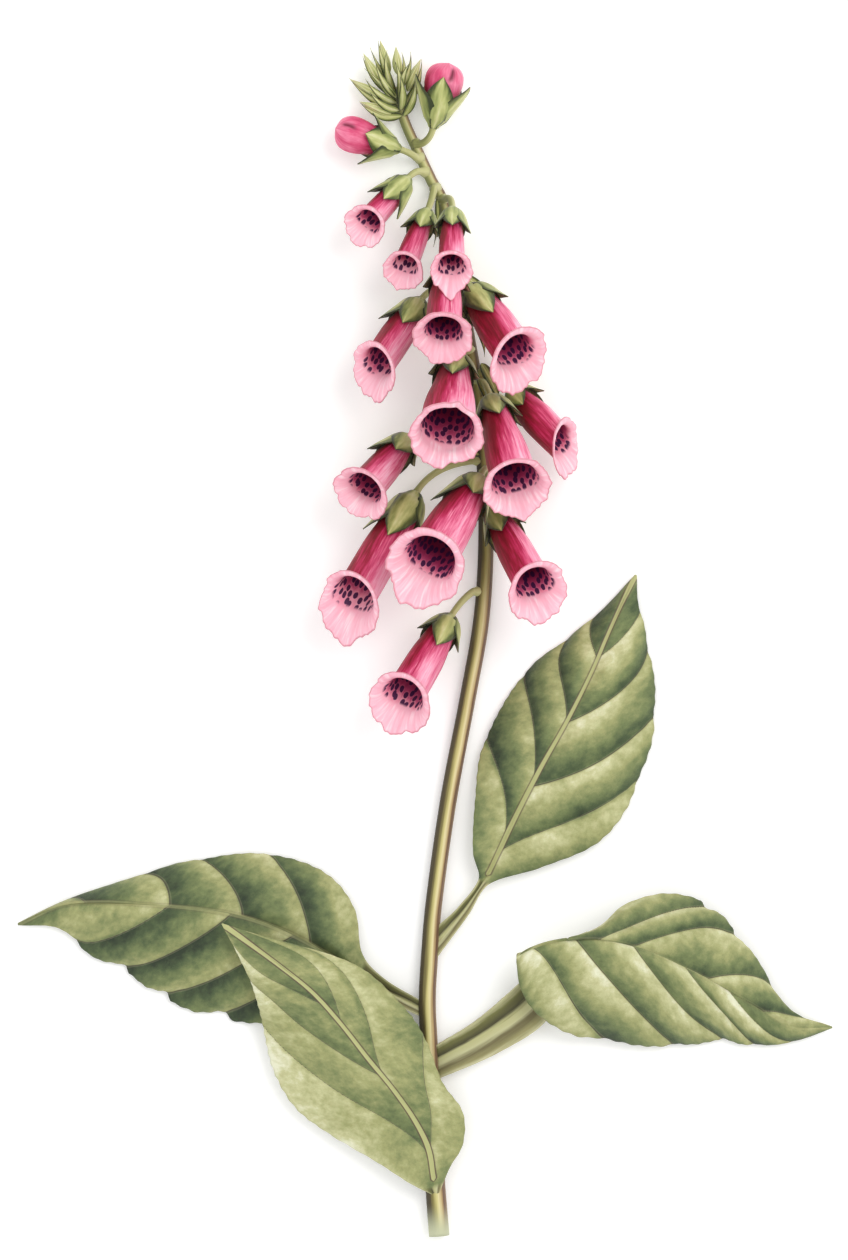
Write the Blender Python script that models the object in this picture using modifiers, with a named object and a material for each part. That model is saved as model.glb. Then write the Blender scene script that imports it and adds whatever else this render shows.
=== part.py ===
"""A cut foxglove spike (Digitalis purpurea) lying on a table, seen best from above.

The stem lies along +Y with the buds at its +Y end. +Z is up from the table, and the spotted
mouths of the flowers look up towards +Z. Lengths in the tables are in millimetres, and
MM turns them into Blender's metres.
"""

import math

import bmesh
import bpy
import numpy as np
from mathutils import Matrix, Vector

MM = 0.001
GAP = 0.35  # the air aimed at between pieces that touch on the real plant
MERGE_WITHIN = 1e-6  # in metres: points of one turned surface that are the same point

STEM_PER_SPAN = 2
STEM_BEVEL = 4
FINE_PER_SPAN = 4  # for reading a place on the stem between its stations

# The stem's centreline as (x, y), and its radius, from the cut end to the tip.
STEM = (
    (5.2, -214.6, 3.7), (3.8, -196.6, 3.6), (2.7, -173.2, 3.4), (1.4, -144.4, 3.2), (0.9, -130.0, 3.1),
    (1.6, -115.6, 3.1), (3.4, -94.0, 3.0), (8.5, -58.0, 3.0), (15.3, -22.0, 2.9), (20.3, 6.8, 2.9),
    (22.0, 34.0, 2.8), (21.4, 60.8, 2.7), (19.3, 86.0, 2.6), (15.7, 107.6, 2.5), (12.1, 129.2, 2.3),
    (7.2, 155.0, 2.1), (2.3, 165.2, 2.0), (-2.7, 176.0, 1.9), (-7.4, 186.8, 1.8), (-10.6, 198.4, 1.4),
)

# Each open flower: where its tube starts, the centre of its mouth, which way the mouth looks
# (x and y of a unit vector), the mouth's radius, and the height on the stem where its stalk starts.
FLOWERS = (
    ((9.2, 7.6, 11.0), (-9.2, -23.4, 31.0), (-0.35, -0.25), 11.4, 17.0),
    ((24.7, 45.7, 13.0), (40.5, 16.2, 37.0), (0.40, -0.25), 11.2, 51.0),
    ((19.3, 57.2, 20.0), (-0.2, 24.8, 47.0), (-0.15, -0.25), 14.0, 60.0),
    ((-3.4, 51.8, 10.0), (-27.2, 11.2, 30.0), (-0.55, -0.20), 12.6, 64.0),
    ((-5.9, 71.6, 12.0), (-22.9, 51.5, 33.0), (-0.45, -0.50), 10.4, 79.0),
    ((23.6, 86.0, 16.0), (32.9, 52.9, 42.0), (0.15, -0.50), 11.9, 93.0),
    ((31.2, 88.9, 7.8), (50.6, 68.0, 22.0), (0.90, -0.05), 10.6, 86.0),
    ((11.3, 100.4, 20.0), (7.7, 71.6, 49.0), (0.00, -0.50), 12.8, 104.0),
    ((16.4, 125.6, 14.0), (33.8, 98.6, 34.0), (0.62, -0.36), 12.5, 132.0),
    ((-1.6, 121.0, 10.0), (-18.2, 95.3, 27.0), (-0.72, -0.20), 10.6, 126.0),
    ((8.1, 132.1, 18.0), (6.5, 106.4, 43.0), (0.00, -0.58), 10.6, 137.0),
    ((9.9, 153.0, 18.0), (9.5, 130.0, 39.0), (0.00, -0.30), 7.6, 158.0),
    ((0.9, 153.0, 11.0), (-7.7, 131.0, 26.0), (-0.20, -0.35), 7.2, 162.0),
    ((-6.3, 164.9, 8.5), (-21.6, 147.2, 22.0), (-0.30, -0.30), 7.6, 168.0),
)

# The two pink buds: start, end of the bulb, radius, height on the stem of the stalk, sepals' reach.
PINK_BUDS = (
    ((-9.5, 175.9, 8.0), (-32.0, 182.9, 13.0), 6.6, 173.0, 0.60),
    ((3.2, 184.0, 8.0), (8.8, 206.4, 12.0), 7.0, 178.0, 0.80),
)

# The green buds round the growing tip: start, tip and radius.
TIP_BUDS = (
    ((-12.9, 202.2, 3.6), (-16.0, 215.3, 5.0), 2.3),
    ((-15.2, 198.6, 5.8), (-22.1, 210.2, 10.0), 2.2),
    ((-13.6, 193.2, 4.4), (-26.8, 201.2, 5.0), 2.4),
    ((-11.6, 188.4, 6.4), (-23.2, 192.6, 11.0), 2.3),
    ((-9.3, 202.0, 7.0), (-10.3, 212.5, 12.0), 2.1),
    ((-6.4, 196.4, 4.2), (-1.3, 208.4, 6.0), 2.3),
)

# Shape of a flower's tube: share of its length and share of the mouth's radius.
BELL_LENGTHS = (0.0, 0.03, 0.12, 0.28, 0.45, 0.65, 0.85, 0.95, 1.0)
BELL_RADII = (0.0, 0.26, 0.39, 0.49, 0.57, 0.64, 0.72, 0.83, 1.0)
BASE_ROUND = 0.03  # share of the length over which the tube's closed end rounds off
BASE_LIFT = 0.6  # holds the tube clear of the bottom of its calyx
TILT_FROM = 0.40  # share of the length where the tube starts to lean into its slanted mouth
TILT_POWER = 1.5  # above 1, so that the lean starts gently
TUBE_STEPS = 16
PETAL_THICK = 0.8
BUD_STEPS = 14
BUD_LENGTHS = (0.0, 0.05, 0.2, 0.42, 0.64, 0.82, 0.94, 1.0)
BUD_RADII = (0.0, 0.28, 0.52, 0.80, 0.98, 0.94, 0.62, 0.0)
TIP_BUD_SHAPE = ((0.0, 0.0), (0.6, 0.08), (1.0, 0.34), (0.8, 0.62), (0.34, 0.88), (0.0, 1.0))
TIP_BUD_STEPS = 8

SEPAL_THICK = 0.7
SEPAL_TIP = 0.38  # share of the tube's length that the five sepals reach
SEPAL_NOTCH = 0.13
SEPALS = 5
CALYX_STEPS = 2 * SEPALS  # one for each sepal's tip and one for each notch
CALYX_RINGS = (0.02, 0.28, 0.52, 0.76, 1.0)
CALYX_AIR = 0.3  # more air than GAP, because the tube's own facets bulge between the calyx's
CALYX_FLARE = 0.9  # what the calyx opens by over the flower's length

STALK_RADIUS = 1.15
STALK_TAPER = (1.15, 1.0)
STALK_AIR = 0.25  # more air than GAP, because the stem is faceted
STALK_SQUARE = 0.8  # how far the stalk runs square to the stem before it bends
STALK_BEND = 0.45  # share of the way back along the flower's axis to the bend
STALK_LOWEST = 5.0
STALK_STEPS = 6
STALK_BEVEL = 2
STALK_SHORT = 1.0  # the stalk ends this far short of the calyx

LEAF_THICK = 0.9
LEAF_AIR = 0.6  # between the stem and a leaf's base
LEAF_PER_SPAN = 2
LEAF_PER_HALF = 3

# Leaves as stations from the stem to the tip: left margin, midrib and right margin, each (x, y, z).
UPPER_RIGHT_LEAF = (
    ((7.6, -103.0, 4.6), (7.3, -109.0, 3.6), (6.9, -115.0, 4.4)),
    ((12.6, -95.8, 5.6), (14.0, -97.6, 4.6), (15.6, -99.4, 5.4)),
    ((19.4, -86.2, 6.6), (21.4, -86.8, 5.6), (23.6, -87.8, 6.2)),
    ((17.5, -76.0, 7.0), (26.5, -76.6, 7.0), (42.0, -82.0, 5.0)),
    ((18.3, -58.0, 6.0), (34.0, -61.0, 9.0), (62.8, -72.4, 3.0)),
    ((20.0, -41.0, 4.0), (42.0, -45.5, 11.0), (75.8, -55.4, 1.6)),
    ((27.2, -26.3, 2.0), (51.0, -29.5, 11.5), (82.2, -33.0, 1.2)),
    ((36.5, -11.4, 1.2), (59.5, -12.8, 10.0), (82.4, -13.0, 1.4)),
    ((51.0, -0.6, 1.2), (65.5, 1.0, 7.5), (79.2, 3.5, 2.0)),
    ((64.0, 10.5, 1.4), (71.0, 13.0, 4.5), (76.6, 14.0, 2.2)),
    ((75.8, 22.9, 1.8), (76.0, 23.0, 1.8), (76.2, 22.9, 1.8)),
)
LEFT_LEAF = (
    ((-3.2, -129.8, 4.2), (-3.4, -132.6, 3.4), (-3.2, -135.6, 4.0)),
    ((-14.0, -122.4, 4.6), (-14.6, -126.0, 3.8), (-15.2, -130.0, 4.4)),
    ((-22.6, -113.0, 4.0), (-24.4, -119.6, 5.0), (-29.0, -130.0, 3.0)),
    ((-25.5, -97.0, 3.0), (-36.0, -112.4, 7.0), (-45.0, -134.8, 2.0)),
    ((-35.0, -84.6, 2.4), (-50.0, -105.0, 8.6), (-60.3, -138.0, 1.4)),
    ((-52.0, -78.2, 2.0), (-66.0, -99.4, 9.6), (-77.0, -136.0, 1.2)),
    ((-70.0, -77.9, 2.0), (-83.0, -96.5, 10.0), (-94.0, -129.0, 1.2)),
    ((-88.4, -80.6, 2.0), (-100.0, -95.2, 9.4), (-106.5, -120.5, 1.4)),
    ((-111.1, -88.2, 2.0), (-116.0, -94.4, 7.4), (-120.0, -113.8, 1.6)),
    ((-129.0, -94.0, 2.0), (-131.0, -95.8, 4.6), (-132.0, -104.2, 1.8)),
    ((-146.2, -102.4, 2.0), (-146.3, -102.6, 2.0), (-146.2, -102.8, 2.0)),
)
FRONT_LEAF = (
    ((2.0, -199.4, 8.6), (3.9, -199.4, 8.4), (6.0, -199.0, 8.6)),
    ((-5.5, -195.0, 8.4), (3.0, -192.0, 9.0), (9.0, -189.5, 8.8)),
    ((-17.1, -187.6, 7.6), (1.3, -182.5, 10.4), (13.6, -181.0, 9.0)),
    ((-34.0, -178.0, 6.0), (-3.5, -172.5, 12.6), (13.5, -169.6, 9.6)),
    ((-46.0, -168.5, 5.4), (-11.0, -161.5, 15.0), (6.5, -159.0, 11.0)),
    ((-54.0, -155.0, 5.6), (-20.0, -150.5, 17.0), (0.5, -144.0, 12.0)),
    ((-57.5, -143.0, 7.4), (-29.5, -138.2, 18.4), (-6.5, -133.0, 13.0)),
    ((-59.4, -131.0, 10.6), (-40.0, -126.5, 19.0), (-20.0, -119.6, 14.0)),
    ((-62.3, -122.5, 13.0), (-51.5, -117.0, 19.0), (-35.0, -112.8, 15.0)),
    ((-67.5, -111.5, 15.4), (-62.0, -109.3, 18.0), (-55.0, -107.2, 16.4)),
    ((-72.4, -102.0, 16.0), (-72.5, -101.9, 16.0), (-72.3, -102.0, 16.0)),
)
LOWER_RIGHT_LEAF = (
    ((33.1, -112.6, 17.0), (32.9, -113.6, 18.0), (33.0, -115.6, 17.4)),
    ((39.0, -111.4, 16.0), (38.0, -110.4, 20.0), (34.8, -125.0, 16.0)),
    ((49.0, -108.6, 16.0), (46.0, -107.9, 22.4), (40.6, -134.0, 13.4)),
    ((62.4, -103.0, 16.6), (57.8, -106.6, 24.0), (52.5, -142.0, 9.4)),
    ((72.0, -95.4, 13.0), (67.8, -107.7, 24.0), (67.0, -145.0, 6.0)),
    ((87.0, -91.6, 10.0), (79.5, -111.2, 21.6), (82.0, -146.0, 3.6)),
    ((101.5, -94.6, 8.0), (91.0, -116.5, 18.0), (95.0, -146.0, 2.6)),
    ((111.6, -105.0, 7.0), (103.0, -122.6, 14.6), (107.0, -144.6, 2.4)),
    ((121.4, -118.4, 6.0), (117.0, -130.8, 10.6), (118.5, -145.8, 2.2)),
    ((131.4, -133.2, 4.6), (131.0, -138.8, 6.4), (132.5, -144.9, 2.4)),
    ((146.5, -139.6, 2.6), (146.6, -139.7, 2.6), (146.5, -139.8, 2.6)),
)
LOWER_RIGHT_STALK = (
    ((6.9, -146.0, 5.2), (7.1, -152.0, 3.6), (7.3, -158.2, 4.6)),
    ((18.0, -137.4, 6.6), (20.5, -143.0, 4.8), (25.0, -149.4, 5.8)),
    ((31.4, -126.0, 8.6), (36.2, -131.4, 6.6), (42.8, -138.0, 7.6)),
    ((39.0, -118.4, 12.4), (43.0, -121.4, 11.4), (47.4, -125.0, 11.4)),
    ((46.0, -113.0, 19.2), (48.6, -114.6, 19.0), (51.4, -116.4, 18.8)),
)

# Each leaf's name and stations, how far a half bows up as a share of its width, and whether its
# first station is brought up to the stem. The lower right blade starts at its own stalk instead.
LEAVES = (
    ("leaf_upper_right", UPPER_RIGHT_LEAF, 0.05, True),
    ("leaf_left", LEFT_LEAF, 0.05, True),
    ("leaf_front", FRONT_LEAF, 0.04, False),
    ("leaf_lower_right", LOWER_RIGHT_LEAF, 0.06, False),
    ("petiole_lower_right", LOWER_RIGHT_STALK, 0.0, True),
)

# Base colours and roughness, as one Principled material each.
COLOURS = {
    "stem": ((0.30, 0.30, 0.12), 0.55),
    "stalk": ((0.32, 0.36, 0.14), 0.55),
    "calyx": ((0.33, 0.38, 0.16), 0.55),
    "petal": ((0.72, 0.16, 0.30), 0.45),
    "pink_bud": ((0.80, 0.22, 0.36), 0.45),
    "green_bud": ((0.42, 0.46, 0.22), 0.55),
    "leaf": ((0.27, 0.32, 0.14), 0.6),
}


def clear_scene():
    for obj in list(bpy.data.objects):
        bpy.data.objects.remove(obj)


def material(name):
    colour, roughness = COLOURS[name]
    mat = bpy.data.materials.get(name) or bpy.data.materials.new(name)
    mat.use_nodes = True
    shader = mat.node_tree.nodes["Principled BSDF"]
    shader.inputs["Base Color"].default_value = (*colour, 1.0)
    shader.inputs["Roughness"].default_value = roughness
    shader.inputs["Metallic"].default_value = 0.0
    return mat


def add_object(name, data, kind, plant):
    data.materials.append(material(kind))
    obj = bpy.data.objects.new(name, data)
    plant.objects.link(obj)
    return obj


def add_solidify(obj, thick, offset):
    shell = obj.modifiers.new("Thickness", "SOLIDIFY")
    shell.thickness = thick * MM
    shell.offset = offset
    shell.use_even_offset = True


def smooth_through(stations, per_span):
    """Points of a Catmull-Rom curve through the stations, per_span of them for each step."""
    points = np.array(stations, float)
    ends = np.concatenate([2 * points[:1] - points[1:2], points, 2 * points[-1:] - points[-2:-1]])
    found = []
    for i in range(len(points) - 1):
        a, b, c, d = ends[i : i + 4]
        for t in np.arange(per_span) / per_span:
            found.append(
                b + 0.5 * t * ((c - a) + t * (2 * a - 5 * b + 4 * c - d + t * (3 * (b - c) + d - a)))
            )
    found.append(points[-1])
    return np.array(found)


def add_rod(name, points, radii, bevel, kind, plant):
    """A round stalk along the points, whose radius changes from point to point."""
    curve = bpy.data.curves.new(name, "CURVE")
    curve.dimensions = "3D"
    curve.bevel_depth = MM
    curve.bevel_resolution = bevel
    curve.use_fill_caps = True
    spline = curve.splines.new("POLY")
    spline.points.add(len(points) - 1)
    for knot, point, radius in zip(spline.points, points, radii):
        knot.co = (*(MM * np.array(point)), 1.0)
        knot.radius = radius
    return add_object(name, curve, kind, plant)


def stem_at(height):
    """Centre and radius of the stem at this y."""
    path = smooth_through(STEM, FINE_PER_SPAN)
    x = np.interp(height, path[:, 1], path[:, 0])
    radius = np.interp(height, path[:, 1], path[:, 2])
    return np.array([x, height, radius]), radius


def add_stem(plant):
    path = smooth_through(STEM, STEM_PER_SPAN)
    points = [(x, y, radius) for x, y, radius in path]
    add_rod("stem", points, path[:, 2], STEM_BEVEL, "stem", plant)


def add_stalk(name, height, start, axis, plant):
    """A flower's stalk: it leaves the stem square to it and bends round into the flower's axis."""
    centre, radius = stem_at(height)
    end = np.array(start) - STALK_SHORT * axis
    reach = np.linalg.norm(end - centre)
    bend = end - STALK_BEND * reach * axis
    bend[2] = max(bend[2], STALK_LOWEST)
    away = bend - centre
    away[1] = 0.0
    away /= np.linalg.norm(away)
    first = centre + (radius + GAP + STALK_AIR) * away
    second = first + STALK_SQUARE * away
    points = [first]
    for t in np.linspace(0.0, 1.0, STALK_STEPS):
        points.append((1 - t) ** 2 * second + 2 * t * (1 - t) * bend + t * t * end)
    widths = STALK_RADIUS * np.linspace(*STALK_TAPER, len(points))
    add_rod(name, points, widths, STALK_BEVEL, "stalk", plant)


def spin_profile(profile, steps):
    """An open surface turned about Z from (radius, z) pairs, the first of which lies on the axis."""
    bm = bmesh.new()
    verts = [bm.verts.new((radius * MM, 0.0, z * MM)) for radius, z in profile]
    edges = [bm.edges.new(pair) for pair in zip(verts, verts[1:])]
    bmesh.ops.spin(
        bm, geom=verts + edges, axis=(0, 0, 1), cent=(0, 0, 0), angle=math.tau, steps=steps
    )
    bmesh.ops.remove_doubles(bm, verts=bm.verts, dist=MERGE_WITHIN)
    return bm


def face_outward(bm):
    """Turns the faces of a surface round the Z axis so that they look away from it."""
    bmesh.ops.recalc_face_normals(bm, faces=bm.faces)
    outward = 0.0
    for face in bm.faces:
        centre = face.calc_center_median()
        outward += face.calc_area() * face.normal.dot(Vector((centre.x, centre.y, 0.0)))
    if outward < 0:
        bmesh.ops.reverse_faces(bm, faces=bm.faces)


def finish_mesh(name, bm, kind, plant):
    data = bpy.data.meshes.new(name)
    bm.to_mesh(data)
    bm.free()
    for face in data.polygons:
        face.use_smooth = True
    return add_object(name, data, kind, plant)


def axes_of(start, end, facing):
    """A flower's length, axis, placing (Z along the tube, Y to the upper lip) and its mouth's slant."""
    axis = Vector(end) - Vector(start)
    length = axis.length
    axis.normalize()
    look = Vector((facing[0], facing[1], math.sqrt(1 - facing[0] ** 2 - facing[1] ** 2)))
    slant = axis.angle(look)
    upper = (look - look.dot(axis) * axis).normalized()
    across = upper.cross(axis)
    turn = Matrix((across, upper, axis)).transposed().to_4x4()
    return length, axis, Matrix.Translation(MM * Vector(start)) @ turn, slant


def bell_radius(z, length, mouth):
    return mouth * np.interp(z / length, BELL_LENGTHS, BELL_RADII)


def add_bell(name, length, mouth, slant, placing, plant):
    """The tube of one flower: a turned trumpet, leaning into a slanted mouth whose lower lip is longer."""
    profile = [
        (mouth * share, BASE_LIFT + (length - BASE_LIFT) * t) for t, share in zip(BELL_LENGTHS, BELL_RADII)
    ]
    bm = spin_profile(profile, TUBE_STEPS)
    for vert in bm.verts:
        t = vert.co.z / (length * MM)
        lean = min(max((t - TILT_FROM) / (1 - TILT_FROM), 0.0), 1.0) ** TILT_POWER
        vert.co.y *= 1 - (1 - math.cos(slant)) * lean
        vert.co.z -= math.tan(slant) * lean * vert.co.y
    face_outward(bm)
    bell = finish_mesh(name, bm, "petal", plant)
    bell.matrix_world = placing
    add_solidify(bell, PETAL_THICK, -1.0)


def add_calyx(name, length, mouth, placing, plant, tip=SEPAL_TIP, radius_at=bell_radius):
    """A green cup of five pointed sepals that hugs the start of the tube."""
    profile = [(0.0, 0.0)] + [(1.0, share) for share in CALYX_RINGS]
    bm = spin_profile(profile, CALYX_STEPS)
    corner = math.cos(math.pi / CALYX_STEPS)
    for vert in bm.verts:
        share = vert.co.z / MM
        angle = math.atan2(vert.co.x, vert.co.y)
        lobe = 0.5 + 0.5 * math.cos(SEPALS * angle)
        edge = length * (SEPAL_NOTCH + (tip - SEPAL_NOTCH) * lobe)
        z = share * edge
        radius = 0.0
        if share > 0.0:
            inner = radius_at(max(z, BASE_ROUND * length), length, mouth)
            radius = (inner + GAP) / corner + CALYX_AIR + CALYX_FLARE * (z / length)
        vert.co = Vector((radius * math.sin(angle), radius * math.cos(angle), z)) * MM
    face_outward(bm)
    calyx = finish_mesh(name, bm, "calyx", plant)
    calyx.matrix_world = placing
    add_solidify(calyx, SEPAL_THICK, 1.0)


def add_flowers(plant):
    for number, (start, end, facing, mouth, height) in enumerate(FLOWERS, 1):
        length, axis, placing, slant = axes_of(start, end, facing)
        add_stalk(f"pedicel_{number:02d}", height, start, np.array(axis), plant)
        add_calyx(f"calyx_{number:02d}", length, mouth, placing, plant)
        add_bell(f"bell_{number:02d}", length, mouth, slant, placing, plant)


def bud_radius(z, length, radius):
    return radius * np.interp(z / length, BUD_LENGTHS, BUD_RADII)


def add_pink_buds(plant):
    for side, (start, end, radius, height, reach) in zip(("left", "right"), PINK_BUDS):
        length, axis, placing, _ = axes_of(start, end, (0.0, 0.0))
        add_stalk(f"pink_bud_{side}_pedicel", height, start, np.array(axis), plant)
        add_calyx(
            f"pink_bud_{side}_calyx", length, radius, placing, plant, tip=reach, radius_at=bud_radius
        )
        profile = [
            (radius * r, BASE_LIFT + (length - BASE_LIFT) * t) for t, r in zip(BUD_LENGTHS, BUD_RADII)
        ]
        bm = spin_profile(profile, BUD_STEPS)
        face_outward(bm)
        bud = finish_mesh(f"pink_bud_{side}", bm, "pink_bud", plant)
        bud.matrix_world = placing


def add_tip_buds(plant):
    for number, (start, end, radius) in enumerate(TIP_BUDS, 1):
        length, _, placing, _ = axes_of(start, end, (0.0, 0.0))
        bm = spin_profile([(radius * r, length * z) for r, z in TIP_BUD_SHAPE], TIP_BUD_STEPS)
        face_outward(bm)
        bud = finish_mesh(f"tip_bud_{number}", bm, "green_bud", plant)
        bud.matrix_world = placing


def rooted(stations):
    """The stations, with the three points of the first brought up to the stem's surface."""
    found = np.array(stations, float)
    for point in found[0]:
        centre, radius = stem_at(point[1])
        away = point - centre
        point[:] = centre + (radius + LEAF_AIR) / np.linalg.norm(away) * away
    return found


def add_leaf(name, stations, arch, plant):
    """A thin sheet lofted along the midrib; each half bows up by arch of its width."""
    flat = np.array(stations).reshape(len(stations), 9)
    rows = smooth_through(flat, LEAF_PER_SPAN).reshape(-1, 3, 3)
    bm = bmesh.new()
    grid = []
    for left, mid, right in rows:
        row = []
        for edge, shares in (
            (left, np.linspace(1, 0, LEAF_PER_HALF, endpoint=False)),
            (right, np.linspace(0, 1, LEAF_PER_HALF + 1)),
        ):
            width = np.linalg.norm(edge - mid)
            for share in shares:
                point = mid + share * (edge - mid)
                point[2] += arch * width * 4 * share * (1 - share)
                row.append(bm.verts.new(MM * point))
        grid.append(row)
    for a, b in zip(grid, grid[1:]):
        for i in range(len(a) - 1):
            bm.faces.new((a[i], a[i + 1], b[i + 1], b[i]))
    leaf = finish_mesh(name, bm, "leaf", plant)
    add_solidify(leaf, LEAF_THICK, 0.0)


def add_leaves(plant):
    for name, stations, arch, on_stem in LEAVES:
        add_leaf(name, rooted(stations) if on_stem else stations, arch, plant)


def main():
    clear_scene()
    plant = bpy.data.collections.new("foxglove_spike")
    bpy.context.scene.collection.children.link(plant)
    add_stem(plant)
    add_leaves(plant)
    add_flowers(plant)
    add_pink_buds(plant)
    add_tip_buds(plant)


main()
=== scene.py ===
"""Looks of the cut foxglove spike: fine petals, sepals, leaves and stem over the CAD solids.

The plan of the plant (stem, flowers, buds, leaves) repeats the solids', in millimetres; MM makes metres.
Z is up from the table, +Y runs to the tip of the spike, and the camera looks straight down.
"""

import math

import bpy
import numpy as np
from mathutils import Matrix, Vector


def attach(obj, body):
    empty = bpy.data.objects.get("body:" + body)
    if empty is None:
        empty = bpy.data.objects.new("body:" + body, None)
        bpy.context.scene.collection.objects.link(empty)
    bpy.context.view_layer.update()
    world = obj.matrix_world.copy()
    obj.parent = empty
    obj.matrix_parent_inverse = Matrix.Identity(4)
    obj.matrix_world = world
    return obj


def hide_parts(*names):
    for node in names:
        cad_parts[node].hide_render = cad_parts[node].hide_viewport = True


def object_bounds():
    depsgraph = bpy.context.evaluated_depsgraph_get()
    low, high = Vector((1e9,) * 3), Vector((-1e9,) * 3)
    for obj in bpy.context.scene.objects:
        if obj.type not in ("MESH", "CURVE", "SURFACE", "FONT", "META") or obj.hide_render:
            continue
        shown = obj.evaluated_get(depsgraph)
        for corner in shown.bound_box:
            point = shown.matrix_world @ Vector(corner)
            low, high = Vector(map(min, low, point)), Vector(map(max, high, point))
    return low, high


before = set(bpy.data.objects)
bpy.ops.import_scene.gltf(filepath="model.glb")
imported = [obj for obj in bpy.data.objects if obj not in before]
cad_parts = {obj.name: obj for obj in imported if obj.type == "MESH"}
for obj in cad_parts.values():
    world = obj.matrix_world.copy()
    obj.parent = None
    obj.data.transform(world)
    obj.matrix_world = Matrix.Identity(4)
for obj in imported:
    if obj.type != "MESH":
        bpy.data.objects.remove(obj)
cad_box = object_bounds()
MM = 0.001
CM_PER_MM = 0.1  # texture coordinates are in centimetres
UP = np.array([0.0, 0.0, 1.0])
TINY = 1e-9

# ---- the plan of the plant

# centre x, centre y and radius, from the cut end to the tip
STEM = (
    (5.2, -214.6, 3.7), (3.8, -196.6, 3.6), (2.7, -173.2, 3.4), (1.4, -144.4, 3.2), (0.9, -130.0, 3.1),
    (1.6, -115.6, 3.1), (3.4, -94.0, 3.0), (8.5, -58.0, 3.0), (15.3, -22.0, 2.9), (20.3, 6.8, 2.9),
    (22.0, 34.0, 2.8), (21.4, 60.8, 2.7), (19.3, 86.0, 2.6), (15.7, 107.6, 2.5), (12.1, 129.2, 2.3),
    (7.2, 155.0, 2.1), (2.3, 165.2, 2.0), (-2.7, 176.0, 1.9), (-7.4, 186.8, 1.8), (-10.6, 198.4, 1.4),
)

# start, mouth centre, where the mouth looks (x, y), mouth radius, height of the stalk on the stem
FLOWERS = (
    ((9.2, 7.6, 11.0), (-9.2, -23.4, 31.0), (-0.35, -0.25), 11.4, 17.0),
    ((24.7, 45.7, 13.0), (40.5, 16.2, 37.0), (0.40, -0.25), 11.2, 51.0),
    ((19.3, 57.2, 20.0), (-0.2, 24.8, 47.0), (-0.15, -0.25), 14.0, 60.0),
    ((-3.4, 51.8, 10.0), (-27.2, 11.2, 30.0), (-0.55, -0.20), 12.6, 64.0),
    ((-5.9, 71.6, 12.0), (-22.9, 51.5, 33.0), (-0.45, -0.50), 10.4, 79.0),
    ((23.6, 86.0, 16.0), (32.9, 52.9, 42.0), (0.15, -0.50), 11.9, 93.0),
    ((31.2, 88.9, 7.8), (50.6, 68.0, 22.0), (0.90, -0.05), 10.6, 86.0),
    ((11.3, 100.4, 20.0), (7.7, 71.6, 49.0), (0.00, -0.50), 12.8, 104.0),
    ((16.4, 125.6, 14.0), (33.8, 98.6, 34.0), (0.62, -0.36), 12.5, 132.0),
    ((-1.6, 121.0, 10.0), (-18.2, 95.3, 27.0), (-0.72, -0.20), 10.6, 126.0),
    ((8.1, 132.1, 18.0), (6.5, 106.4, 43.0), (0.00, -0.58), 10.6, 137.0),
    ((9.9, 153.0, 18.0), (9.5, 130.0, 39.0), (0.00, -0.30), 7.6, 158.0),
    ((0.9, 153.0, 11.0), (-7.7, 131.0, 26.0), (-0.20, -0.35), 7.2, 162.0),
    ((-6.3, 164.9, 8.5), (-21.6, 147.2, 22.0), (-0.30, -0.30), 7.6, 168.0),
)
# start, tip, radius, height of the stalk on the stem, reach of the sepals as a share of the bud
PINK_BUDS = (
    ((-9.5, 175.9, 8.0), (-32.0, 182.9, 13.0), 6.6, 173.0, 0.60),
    ((3.2, 184.0, 8.0), (8.8, 206.4, 12.0), 7.0, 178.0, 0.80),
)
# start, tip, radius
TIP_BUDS = (
    ((-12.9, 202.2, 3.6), (-16.0, 215.3, 5.0), 2.3),
    ((-15.2, 198.6, 5.8), (-22.1, 210.2, 10.0), 2.2),
    ((-13.6, 193.2, 4.4), (-26.8, 201.2, 5.0), 2.4),
    ((-11.6, 188.4, 6.4), (-23.2, 192.6, 11.0), 2.3),
    ((-9.3, 202.0, 7.0), (-10.3, 212.5, 12.0), 2.1),
    ((-6.4, 196.4, 4.2), (-1.3, 208.4, 6.0), 2.3),
)
# radii of a flower's tube and of a pink bud, as shares of the widest, and how far along they stand
BELL_LENGTHS = (0.03, 0.12, 0.28, 0.45, 0.65, 0.83, 0.90, 0.955, 1.0)
BELL_RADII = (0.26, 0.39, 0.49, 0.57, 0.60, 0.625, 0.68, 0.83, 1.01)
BUD_LENGTHS = (0.0, 0.05, 0.2, 0.42, 0.64, 0.82, 0.94, 1.0)
BUD_RADII = (0.0, 0.28, 0.52, 0.80, 0.98, 0.94, 0.62, 0.0)
TILT_FROM = 0.40  # share of a tube beyond which it turns to face where the mouth looks
STALK_RADIUS = 1.15

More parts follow.
